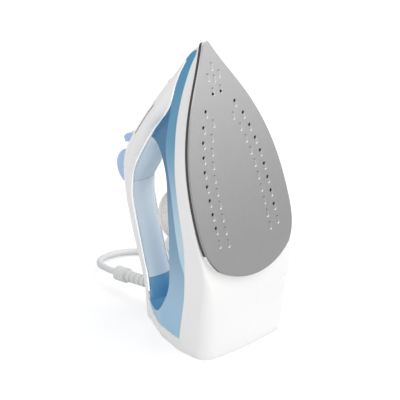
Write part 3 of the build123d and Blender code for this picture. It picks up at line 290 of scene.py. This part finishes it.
def tie_loop(grow):
    """Rounded loop round the coil's turns on its +X side: (distance from the coil's middle, height)."""
    low, high = TIE_THICK / 2 + TIE_LIFT - grow, BUNDLE_TOP + grow
    inner, outer = BUNDLE_INNER - grow, BUNDLE_OUTER + grow
    size = TIE_ROUND + grow
    corners = [
        (outer - size, low + size, -90), (outer - size, high - size, 0),
        (inner + size, high - size, 90), (inner + size, low + size, 180),
    ]
    points = []
    for centre, level, start in corners:
        for i in range(CORNER_POINTS):
            angle = radians(start + CORNER_TURN * i)
            points.append((centre + size * cos(angle), level + size * sin(angle)))
    return points


tie_rings = []
for (x_in, z_in), (x_out, z_out) in zip(tie_loop(0), tie_loop(TIE_THICK)):
    corners = (
        (x_in, -TIE_WIDTH / 2, z_in), (x_in, TIE_WIDTH / 2, z_in),
        (x_out, TIE_WIDTH / 2, z_out), (x_out, -TIE_WIDTH / 2, z_out),
    )
    tie_rings.append([coil_middle + Vector((x, y, z - coil_middle.z)) for x, y, z in corners])
coil_tie = mesh_piece("coil_tie", lambda work: rings_to_tube(work, tie_rings, closed=True))
print("tie of", len(tie_rings), "sections")

# %% Tell the frame about the cord
for piece in (power_cord, plug_boot, coil_tie):
    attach(piece, "iron_body")
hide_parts("mains_cord", "cord_coil")

# %% [markdown]
# ## The lip of the handle cover
# The cover's lower edge is turned in to a rounded lip, which shows as a bright line beside the tank and
# the grip. A Bezier curve with automatic handles passes through every point that it is given, so points
# on the cover's edge put the lip along that edge, once on each side and set a little into the wall.

# %% Cover lip
LIP_RADIUS = 0.0011
LIP_INSET = 0.8
LIP_RISE = -0.3
LIP_ROUNDNESS = 3
LIP_SMOOTHNESS = 8
# Distance from the sole's rear end, half width of the cover and height of its edge, in millimetres
COVER_EDGE = [
    (-15, 19.5, 137), (0, 15.8, 138.7), (16, 15, 138.8), (45, 15, 137.3), (65, 15, 136.2),
    (80, 15, 134.3), (92, 15, 129.9), (105, 15.3, 123.2), (118, 16, 111), (130, 16.7, 97.5),
    (143, 17.4, 81.4), (155, 17.8, 64.4), (161, 18, 55.8), (166, 17, 50.8), (172, 15.5, 47.6),
    (180, 12.5, 44.9), (189, 9.8, 40.6), (197, 7, 35.7), (206, 4.2, 28.3),
]
lip_line = bevelled_curve("cover_lip", LIP_ROUNDNESS)
for side in (-1, 1):
    run = lip_line.splines.new("BEZIER")
    run.bezier_points.add(len(COVER_EDGE) - 1)
    for point, (x, half_width, z) in zip(run.bezier_points, COVER_EDGE):
        point.co = iron(x, side * (half_width - LIP_INSET), z + LIP_RISE)
        point.radius = LIP_RADIUS
        point.handle_left_type = "AUTO"
        point.handle_right_type = "AUTO"
    run.resolution_u = LIP_SMOOTHNESS
cover_lip = placed("cover_lip", lip_line)
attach(cover_lip, "iron_body")
print("lip through", len(COVER_EDGE), "points on each side")

# %% [markdown]
# ## The keys' return springs
# Each key stands on a small coil spring, which gets shorter as the key goes down. A stiff solid can't do
# that; here a copy of it takes its place, fixed to the iron's body. The point of its foot, on top of the
# pump, is worked out, but nothing here makes the copy flatten. The copy has the solid's own mesh, so at
# rest the two are the same.

# %% Return springs
PUMP_X = 112.0
PUMP_Y = 5.7
PUMP_TOP = 128.5
return_springs = []
for name, side in (("spray", -1), ("boost", 1)):
    coil = placed(name + "_return_spring", nodes[name + "_spring"].data.copy())
    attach(coil, "iron_body")
    spring_foot = tuple(iron(PUMP_X, side * PUMP_Y, PUMP_TOP))
    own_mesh(coil)
    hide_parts(name + "_spring")
    return_springs.append(coil)
print(len(return_springs), "return springs")

# %% [markdown]
# ## Marks on the heat dial
# A heat dial carries plain marks: one, two and three dots from cool to hot, a zero and a raised pointer.
# A painted texture could show them, but small real bumps catch the light and turn with the dial.

# %% Places on the dial
DIAL_X = 57.0
DIAL_TOP = 94.5
MARK_RING = 17.8
dial_middle = iron(DIAL_X, 0, DIAL_TOP)


def dial_way(turn):
    """Direction on the dial's face at an angle from the nose, in radians."""
    return NOSE_WAY * cos(turn) + ACROSS * sin(turn)


def dial_point(angle, ring, rise):
    """Point over the dial's face: degrees from the nose, then millimetres from its middle and up."""
    return dial_middle + dial_way(radians(angle)) * (ring * MM) + RISE_WAY * (rise * MM)


print("dial face at", [round(c, 4) for c in dial_middle])

# %% Dots and zero
DOT_GROUPS = {-75: 1, -15: 2, 45: 3}
DOT_SPACING = 9.5
DOT_RADIUS = 1.15
DOT_SIDES = 16
DOT_DOME = [(-0.3, 1.0), (0.12, 0.95), (0.28, 0.7), (0.34, 0.25)]
ZERO_ANGLE = -135
ZERO_RADIUS = 1.56
ZERO_SIDES = 32
ZERO_LONG = 1.25
ZERO_WIDE = 0.85
ZERO_RIM = [(0.8, -0.2), (0.85, 0.25), (1.0, 0.3), (1.15, 0.25), (1.2, -0.2)]


def dial_marks_mesh(work):
    """Domed dots in groups, and a zero with a rounded rim."""
    for angle, count in DOT_GROUPS.items():
        for i in range(count):
            at = angle + (i - (count - 1) / 2) * DOT_SPACING
            rings = []
            for rise, share in DOT_DOME:
                centre = dial_point(at, MARK_RING, rise)
                size = DOT_RADIUS * share * MM
                rings.append([centre + dial_way(spot) * size for spot in once_round(DOT_SIDES)])
            rings_to_tube(work, rings)
    rings = []
    for spot in once_round(ZERO_SIDES):
        outward = NOSE_WAY * (cos(spot) * ZERO_LONG) + ACROSS * (sin(spot) * ZERO_WIDE)
        rings.append([
            dial_point(ZERO_ANGLE, MARK_RING, rise) + outward * (ZERO_RADIUS * share * MM)
            for share, rise in ZERO_RIM
        ])
    rings_to_tube(work, rings, closed=True)


dial_marks = mesh_piece("dial_marks", dial_marks_mesh)
print(sum(DOT_GROUPS.values()), "dots and a zero on the dial")

# %% Pointer
POINTER_ANGLE = 180
POINTER_ENDS = (8.0, 21.4)
POINTER_HALF_WIDTHS = (1.5, 0.5)
POINTER_SIDES = 24
POINTER_LAYERS = [(-0.3, 1.0), (0.5, 0.9), (0.8, 0.6)]


def dial_pointer_mesh(work):
    """Long raised drop that narrows towards the dial's rim."""
    near, far = POINTER_ENDS
    wide, narrow = POINTER_HALF_WIDTHS
    rings = []
    for rise, share in POINTER_LAYERS:
        ring = []
        for spot in once_round(POINTER_SIDES):
            along = (near + far) / 2 + (far - near) / 2 * cos(spot) * share
            half_width = wide + (narrow - wide) * (cos(spot) + 1) / 2
            sideways = ACROSS * (half_width * sin(spot) * share * MM)
            ring.append(dial_point(POINTER_ANGLE, along, rise) + sideways)
        rings.append(ring)
    rings_to_tube(work, rings)


dial_pointer = mesh_piece("dial_pointer", dial_pointer_mesh)
for piece, slot in ((dial_marks, "shield_grey"), (dial_pointer, "dial_cream")):
    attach(piece, "dial")
print("pointer from", POINTER_ENDS[0], "to", POINTER_ENDS[1], "mm")

# %% [markdown]
# ## Shader maths in plain Python
# Finishes here are small formulas: a noise, a distance along the iron, a soft step from one shade to the
# next. They could be wired by hand in the shader editor, but a class that wraps a socket lets them be
# written and read as sums and products, and each operator adds the Math node it needs. One more method
# adds any other node: its settings first, then its inputs.

# %% Socket class
class Wire:
    """An output socket that can be used in Python expressions."""

    def __init__(self, tree, socket):
        self.tree = tree
        self.socket = socket

    def node(self, kind, settings=None, inputs=None, output=0):
        """Any node: settings are set first, then inputs as values or wires; returns one of its outputs."""
        made = self.tree.nodes.new(kind)
        for name, value in (settings or {}).items():
            setattr(made, name, value)
        for key, value in (inputs or {}).items():
            if isinstance(value, Wire):
                self.tree.links.new(value.socket, made.inputs[key])
            else:
                made.inputs[key].default_value = value
        return Wire(self.tree, made.outputs[output])

    def maths(self, operation, first, second=0.0):
        """Math node of one or two values."""
        return self.node("ShaderNodeMath", {"operation": operation}, {0: first, 1: second})

    def __add__(self, other):
        return self.maths("ADD", self, other)

    def __radd__(self, other):
        return self.maths("ADD", other, self)

    def __sub__(self, other):
        return self.maths("SUBTRACT", self, other)

    def __rsub__(self, other):
        return self.maths("SUBTRACT", other, self)

    def __mul__(self, other):
        return self.maths("MULTIPLY", self, other)

    def __rmul__(self, other):
        return self.maths("MULTIPLY", other, self)

    def __abs__(self):
        return self.maths("ABSOLUTE", self)

    def step(self, low, high):
        """0 below low, 1 above high, smooth between."""
        settings = {"interpolation_type": "SMOOTHSTEP"}
        return self.node("ShaderNodeMapRange", settings, {"Value": self, "From Min": low, "From Max": high})

    def mix(self, first, second):
        """Colour between two colours, by this wire as the share of the second."""
        inputs = {0: self, 6: first, 7: second}
        return self.node("ShaderNodeMix", {"data_type": "RGBA"}, inputs, 2)

    def noise(self, scale, detail=2.0, stretch=None):
        """Noise at this place, as a value about 0.5; stretch scales each axis."""
        place = self
        if stretch:
            place = self.node("ShaderNodeVectorMath", {"operation": "MULTIPLY"}, {0: self, 1: stretch})
        return place.node("ShaderNodeTexNoise", None, {"Vector": place, "Scale": scale, "Detail": detail})

    def along(self, way):
        """How far this vector reaches along a direction."""
        return self.node("ShaderNodeVectorMath", {"operation": "DOT_PRODUCT"}, {0: self, 1: tuple(way)}, 1)

    def part(self, axis):
        """One part, X, Y or Z, of this vector."""
        return self.node("ShaderNodeSeparateXYZ", None, {0: self}, "XYZ".index(axis))


print("shader class ready")

# %% [markdown]
# Colours are written as they look on a screen, from 0 to 255, and turned into the linear values that
# shaders use. A finish is a material with its Principled shader: numbers that are the same all over are
# set on its sockets at once, and what changes over the surface is linked.

# %% Finish helper
NOISE_MIDDLE = 0.5
BEVEL_SAMPLES = 6


def linear(red, green, blue):
    """Linear colour of screen values from 0 to 255, by the sRGB curve."""
    shares = [value / 255 for value in (red, green, blue)]
    return tuple(s / 12.92 if s <= 0.04045 else ((s + 0.055) / 1.055) ** 2.4 for s in shares) + (1.0,)


class Finish:
    """A new material: its Principled shader, and wires for place and facing in the iron's rest frame."""

    def __init__(self, name, **constants):
        self.material = bpy.data.materials.new(name)
        self.material.use_nodes = True
        self.tree = self.material.node_tree
        self.shader = self.tree.nodes["Principled BSDF"]
        for key, value in constants.items():
            self.shader.inputs[key.replace("_", " ")].default_value = value
        where = self.tree.nodes.new("ShaderNodeTexCoord")
        self.place = Wire(self.tree, where.outputs["Object"])
        self.facing = Wire(self.tree, where.outputs["Normal"])

    def put(self, **wires):
        """Link wires to sockets of the shader."""
        for key, wire in wires.items():
            self.tree.links.new(wire.socket, self.shader.inputs[key.replace("_", " ")])

    def relief(self, height, distance, strength, round_edges):
        """Bump from a height wire, over edges that are rounded to the eye."""
        edge = self.place.node("ShaderNodeBevel", {"samples": BEVEL_SAMPLES}, {"Radius": round_edges})
        inputs = {"Strength": strength, "Distance": distance, "Height": height, "Normal": edge}
        self.put(Normal=self.place.node("ShaderNodeBump", None, inputs))

    def station(self):
        """Distance along the sole from its rear end, in millimetres."""
        return (self.place.along(NOSE_WAY) - SOLE_END.dot(NOSE_WAY)) * (1 / MM)

    def height(self):
        """Distance away from the sole, in millimetres."""
        return (self.place.along(RISE_WAY) - SOLE_END.dot(RISE_WAY)) * (1 / MM)


print("finish helper ready")

# %% [markdown]
# ## Moulded plastics
# The cover, skirt, door and heel plate are glossy white plastic; the trough, keys, dial and the pieces
# inside are mouldings of other colours. Real mouldings are never quite one shade: it drifts a little over
# a hand's breadth, the gloss is uneven, and a fine grain moves the highlights. Edges are rounded to the
# eye. One function makes them all; the cover's lip is shinier, so that it mirrors the pale room.

# %% Plastics
DRIFT_SCALE = 5.0
DRIFT_SPAN = (0.35, 0.65)
GLOSS_SCALE = 12.0
GLOSS_SPREAD = 0.06
GRAIN_SCALE = 700.0
GRAIN_STRENGTH = 0.3
FINE_GRAIN = 0.00001
PLASTIC_EDGE = 0.0006


def moulded(name, shade, tint, rough, grain=FINE_GRAIN, **constants):
    """Moulded plastic: two close shades, uneven gloss, fine grain and softened edges."""
    finish = Finish(name, **constants)
    drift = finish.place.noise(DRIFT_SCALE, detail=1.0)
    speckle = finish.place.noise(GRAIN_SCALE)
    finish.put(
        Base_Color=drift.step(*DRIFT_SPAN).mix(linear(*shade), linear(*tint)),
        Roughness=rough + (finish.place.noise(GLOSS_SCALE) - NOISE_MIDDLE) * GLOSS_SPREAD,
    )
    finish.relief(speckle, grain, GRAIN_STRENGTH, PLASTIC_EDGE)
    return finish


finishes = {
    "white_plastic": moulded(
        "white_moulding", (247, 247, 246), (245, 245, 245), rough=0.27, Coat_Weight=0.25),
    "pale_grip": moulded("grip_trough", (210, 224, 235), (206, 220, 232), rough=0.4),
    "key_blue": moulded("key_plastic", (177, 204, 242), (172, 199, 239), rough=0.3, Coat_Weight=0.2),
    "dial_cream": moulded("dial_plastic", (238, 235, 231), (235, 232, 228), rough=0.42),
    "shield_grey": moulded("shield_plastic", (50, 52, 54), (44, 46, 49), rough=0.55, grain=0.00006),
    "inner_plastic": moulded("inner_moulding", (214, 216, 216), (206, 208, 208), rough=0.45),
    "hose": moulded("clear_hose", (220, 224, 224), (212, 217, 218), rough=0.3, Transmission_Weight=0.4),
    "amber_lens": moulded(
        "lens_plastic", (235, 150, 60), (228, 136, 48), rough=0.12, Transmission_Weight=0.5),
    "cord_white": moulded("cord_sheath", (226, 227, 227), (219, 220, 221), rough=0.48, grain=0.00005),
    "wire": moulded("wire_sheath", (150, 112, 78), (140, 103, 70), rough=0.5),
}
lip_gloss = moulded("lip_gloss", (253, 253, 253), (251, 251, 251), rough=0.16, Metallic=0.6)
print(len(finishes), "plastics and the lip's gloss")

# %% [markdown]
# ## The blue tank
# The tank is see-through blue plastic with water space behind it. The blue is its own colour; how light or
# deep it looks is painted light and shade. Its flanks get painted shade towards the nose and are paler at
# the heel. A shallow fold along them, drawn here by painted shade alone, parts a paler, lit band from a
# deeper, shaded one. The walls round the finger opening run the other way: painted shade at the rear,
# painted light at the front. A painted picture could carry all this, but a formula needs no unwrapping: the
# painted light and shade follow the distance along the iron, the height above the sole and the way a face
# looks, so they stay on the tank from every side.

# %% Tank's flanks
TANK_GLOSS = 0.12
TANK_CLEARNESS = 0.12
# Spans are distances from the sole's rear end, in millimetres, and shades are screen values: the
# plastic's blue with painted light and shade in it
BAND_SPAN, BAND_REAR, BAND_FRONT = (40, 150), (203, 234, 250), (92, 164, 205)
UPPER_SPAN, UPPER_MIDDLE, UPPER_FRONT = (45, 125), (112, 164, 198), (6, 116, 168)
HEEL_SPAN, UPPER_HEEL = (-30, 50), (178, 217, 244)
# Height of the fold's rear end, and by how much it rises over each span
FOLD_HEIGHT = 42.4
FOLD_BENDS = [((35, 90), -6.2), ((96, 132), 4.8), ((8, 30), 6.0)]
FOLD_SOFTNESS = 0.7
tank = Finish("tank_plastic", Specular_IOR_Level=TANK_GLOSS, Transmission_Weight=TANK_CLEARNESS)
station = tank.station()
# Painted light on the band below the fold and painted shade above it, both deeper towards the nose
painted_light_under_fold = station.step(*BAND_SPAN).mix(linear(*BAND_REAR), linear(*BAND_FRONT))
painted_shade_above_fold = station.step(*UPPER_SPAN).mix(linear(*UPPER_MIDDLE), linear(*UPPER_FRONT))
painted_shade_above_fold = station.step(*HEEL_SPAN).mix(linear(*UPPER_HEEL), painted_shade_above_fold)
fold = FOLD_HEIGHT
for span, bend in FOLD_BENDS:
    fold = fold + station.step(*span) * bend
# The fold is not in the solids: this step draws it as a line between painted light and painted shade
painted_fold_mask = (tank.height() - fold).step(-FOLD_SOFTNESS, FOLD_SOFTNESS)
flank_painted_light_and_shade = painted_fold_mask.mix(painted_light_under_fold, painted_shade_above_fold)
print("fold with", len(FOLD_BENDS), "bends")

# %% Tank's walls and gloss
# The flanks begin outside half the opening's width, in metres, and in front of it
OPENING_HALF = (0.0165, 0.018)
OPENING_FRONT = (140, 150)
FLANK_TURN = (0.3, 0.6)
WALL_SPAN, WALL_REAR, WALL_FRONT = (-30, 110), (96, 160, 204), (214, 231, 244)
CLOUD_SCALE, CLOUD_DETAIL, CLOUD_SPAN = 25.0, 3.0, (0.3, 0.7)
CLOUD_SHARE, CLOUD_SHADE = 0.03, (210, 226, 240)
TANK_ROUGH, TANK_ROUGH_SCALE, TANK_ROUGH_SPREAD = 0.2, 80.0, 0.1
TANK_GRAIN_SCALE, TANK_GRAIN, TANK_GRAIN_STRENGTH = 900.0, 0.00003, 0.4
outside = abs(tank.place.part("X")).step(*OPENING_HALF) + station.step(*OPENING_FRONT)
flank = abs(tank.facing.part("X")).step(*FLANK_TURN) * outside
# Painted shade on the opening's walls at the rear, painted light at the front
wall_painted_light_and_shade = station.step(*WALL_SPAN).mix(linear(*WALL_REAR), linear(*WALL_FRONT))
# The tank's own blue, with all its painted light and shade
shade = flank.mix(wall_painted_light_and_shade, flank_painted_light_and_shade)
cloud = tank.place.noise(CLOUD_SCALE, CLOUD_DETAIL).step(*CLOUD_SPAN) * CLOUD_SHARE
tank.put(
    Base_Color=cloud.mix(shade, linear(*CLOUD_SHADE)),
    Roughness=TANK_ROUGH + (tank.place.noise(TANK_ROUGH_SCALE) - NOISE_MIDDLE) * TANK_ROUGH_SPREAD,
)
tank.relief(tank.place.noise(TANK_GRAIN_SCALE), TANK_GRAIN, TANK_GRAIN_STRENGTH, PLASTIC_EDGE)
finishes["blue_tank"] = tank
print("tank plastic made")

# %% [markdown]
# ## Metals
# The casting inside is dull and grainy, and the steel and brass bits are plain, so they need only two
# close shades and a grain. The sole is satin metal with a fine lengthwise polish, so its noise is
# stretched along it, and its grey gets a painted sheen that grows lighter towards the nose. The walls of
# its pressed dimples catch the light on one side and lose it on the other. They are small, so painted
# light helps: a wall that faces the heel gets painted shade and one that faces the nose a painted
# highlight, by its own direction, which holds from every side.

# %% Plain metals
METAL_DRIFT_SCALE = 9.0
METAL_DRIFT_SPAN = (0.3, 0.7)
METAL_DETAIL = 3.0
METAL_ROUGH_SPREAD = 0.1
METAL_GRAIN_STRENGTH = 0.4
METAL_EDGE = 0.0003


def metal(name, shade, tint, rough, grain_scale, grain):
    """Metal with two shades, uneven polish and a grain."""
    finish = Finish(name, Metallic=1.0)
    lines = finish.place.noise(grain_scale, METAL_DETAIL)
    drift = finish.place.noise(METAL_DRIFT_SCALE, METAL_DETAIL)
    finish.put(
        Base_Color=drift.step(*METAL_DRIFT_SPAN).mix(linear(*shade), linear(*tint)),
        Roughness=rough + (lines - NOISE_MIDDLE) * METAL_ROUGH_SPREAD,
    )
    finish.relief(lines, grain, METAL_GRAIN_STRENGTH, METAL_EDGE)
    return finish


finishes["cast_alloy"] = metal(
    "cast_alloy", (176, 176, 174), (164, 164, 163), rough=0.55, grain_scale=700.0, grain=0.0001)
finishes["steel"] = metal(
    "plain_steel", (168, 168, 170), (158, 158, 161), rough=0.32, grain_scale=900.0, grain=0.00003)
finishes["brass"] = metal(
    "turned_brass", (206, 176, 108), (196, 164, 96), rough=0.3, grain_scale=900.0, grain=0.00003)
print(len(finishes), "finishes so far")

# %% Sole
# The sole's own grey, lighter towards the nose as painted sheen; dimple walls get painted shade and
# highlight
SOLE_SPAN, SOLE_REAR, SOLE_FRONT = (20, 230), (140, 140, 140), (162, 162, 162)
POLISH_STRETCH = (2600.0, 160.0, 160.0)
POLISH_SPAN, POLISH_SHARE, POLISH_SHADE = (0.3, 0.7), 0.12, (172, 172, 172)
SOLE_ROUGH, SOLE_ROUGH_SPREAD = 0.34, 0.16
POLISH_RELIEF, POLISH_STRENGTH = 0.00002, 0.35
DIMPLE_LEAN = (0.35, 0.6)
DIMPLES_FROM = (8, 12)
DIMPLE_PAINTED_SHADE, DIMPLE_PAINTED_HIGHLIGHT = (84, 84, 84), (226, 226, 226)
sole = Finish("sole_satin", Metallic=1.0)
sole_station = sole.station()
polish = sole.place.noise(scale=1.0, detail=METAL_DETAIL, stretch=POLISH_STRETCH)
sole_grey_with_painted_light = sole_station.step(*SOLE_SPAN).mix(linear(*SOLE_REAR), linear(*SOLE_FRONT))
lean = sole.facing.along(NOSE_WAY)
pressed = sole_station.step(*DIMPLES_FROM)
# Painted shade on dimple walls facing the heel, painted highlight on those facing the nose
sole_grey_with_painted_light = ((0 - lean).step(*DIMPLE_LEAN) * pressed).mix(sole_grey_with_painted_light, linear(*DIMPLE_PAINTED_SHADE))
sole_grey_with_painted_light = (lean.step(*DIMPLE_LEAN) * pressed).mix(sole_grey_with_painted_light, linear(*DIMPLE_PAINTED_HIGHLIGHT))
sole.put(
    Base_Color=(polish.step(*POLISH_SPAN) * POLISH_SHARE).mix(sole_grey_with_painted_light, linear(*POLISH_SHADE)),
    Roughness=SOLE_ROUGH + (polish - NOISE_MIDDLE) * SOLE_ROUGH_SPREAD,
)
sole.relief(polish, POLISH_RELIEF, POLISH_STRENGTH, METAL_EDGE)
finishes["sole_steel"] = sole
print(len(finishes), "finishes in all")

# %% [markdown]
# ## Dressing
# The record names a material slot for every solid, so a loop dresses them all. The added pieces follow,
# and the spray nozzle takes the white of the cover that it stands in.

# %% Dress every solid
def dress(piece, finish):
    """Give a solid or a piece one finish."""
    piece.data.materials.clear()
    piece.data.materials.append(finish.material)


for row in frame["record"]["subparts"]:
    dress(nodes[row["node"]], finishes[row["material_slot"]])
for piece in (power_cord, plug_boot, coil_tie):
    dress(piece, finishes["cord_white"])
for piece in return_springs:
    dress(piece, finishes["steel"])
dress(dial_marks, finishes["shield_grey"])
dress(dial_pointer, finishes["dial_cream"])
dress(cover_lip, lip_gloss)
dress(nodes["spray_nozzle"], finishes["white_plastic"])

# %% [markdown]
# ## Table, light and backdrop
# A product picture has a white ground and no hard shadows. The floor is pale and matt; for the camera it
# glows a little, so that it comes out white while the soft shadow under the heel stays. The sky is white
# to the eye and in mirrored or see-through surfaces, and greyer as a light. Three large soft lamps, in
# front, at the side and above, are wide rather than strong, so that the sole mirrors them without glare.

# %% Floor
FLOOR_RADIUS = 7.0
FLOOR_SIDES = 64
FLOOR_DROP = 0.0002
FLOOR_ROUGH = 0.9
FLOOR_SCALE, FLOOR_SPAN = 3.0, (0.3, 0.7)
FLOOR_SHADE, FLOOR_TINT = (205, 205, 206), (208, 208, 208)
BLACK, HALF_WHITE = (0, 0, 0, 1), (0.5, 0.5, 0.5, 1)


def floor_mesh(work):
    """Flat, round floor."""
    bmesh.ops.create_circle(work, cap_ends=True, radius=FLOOR_RADIUS, segments=FLOOR_SIDES)


def to_the_eye(tree):
    """1 for rays of the camera, of gloss and through clear plastic, 0 for light that falls on things."""
    path = tree.nodes.new("ShaderNodeLightPath")
    camera_ray = Wire(tree, path.outputs["Is Camera Ray"])
    glossy_ray = Wire(tree, path.outputs["Is Glossy Ray"])
    clear_ray = Wire(tree, path.outputs["Is Transmission Ray"])
    return (camera_ray + glossy_ray + clear_ray).step(0.0, 1.0)


floor = mesh_piece("floor", floor_mesh)
floor.location.z = -FLOOR_DROP
ground = Finish("pale_ground", Roughness=FLOOR_ROUGH, Emission_Strength=1.0)
patches = ground.place.noise(FLOOR_SCALE).step(*FLOOR_SPAN)
ground.put(
    Base_Color=patches.mix(linear(*FLOOR_SHADE), linear(*FLOOR_TINT)),
    Emission_Color=to_the_eye(ground.tree).mix(BLACK, HALF_WHITE),
)
dress(floor, ground)
print("floor", FLOOR_RADIUS, "m")

# %% World and lamps
SKY_LIGHT, SKY_SEEN = (0.6, 0.6, 0.6, 1), (1.0, 1.0, 1.0, 1)
# Name, place in metres, side in metres and power in watts
LAMPS = [
    ("front_softbox", (0.9, -1.6, 1.5), 2.3, 26.0),
    ("side_softbox", (-1.6, -1.0, 0.9), 1.6, 12.0),
    ("top_softbox", (1.2, 0.1, 1.7), 1.4, 9.0),
]
world = bpy.data.worlds.new("studio")
world.use_nodes = True
scene.world = world
sky_colour = to_the_eye(world.node_tree).mix(SKY_LIGHT, SKY_SEEN)
world.node_tree.links.new(sky_colour.socket, world.node_tree.nodes["Background"].inputs["Color"])
for name, place, size, power in LAMPS:
    lamp = placed(name, bpy.data.lights.new(name, "AREA"))
    lamp.data.shape = "SQUARE"
    lamp.data.size = size
    lamp.data.energy = power
    lamp.location = place
    lamp.rotation_euler = (Vector(place) - CAMERA_TARGET).to_track_quat("Z", "Y").to_euler()
print(len(LAMPS), "soft lamps and an even sky")

# %% Finish
bpy.context.view_layer.update()
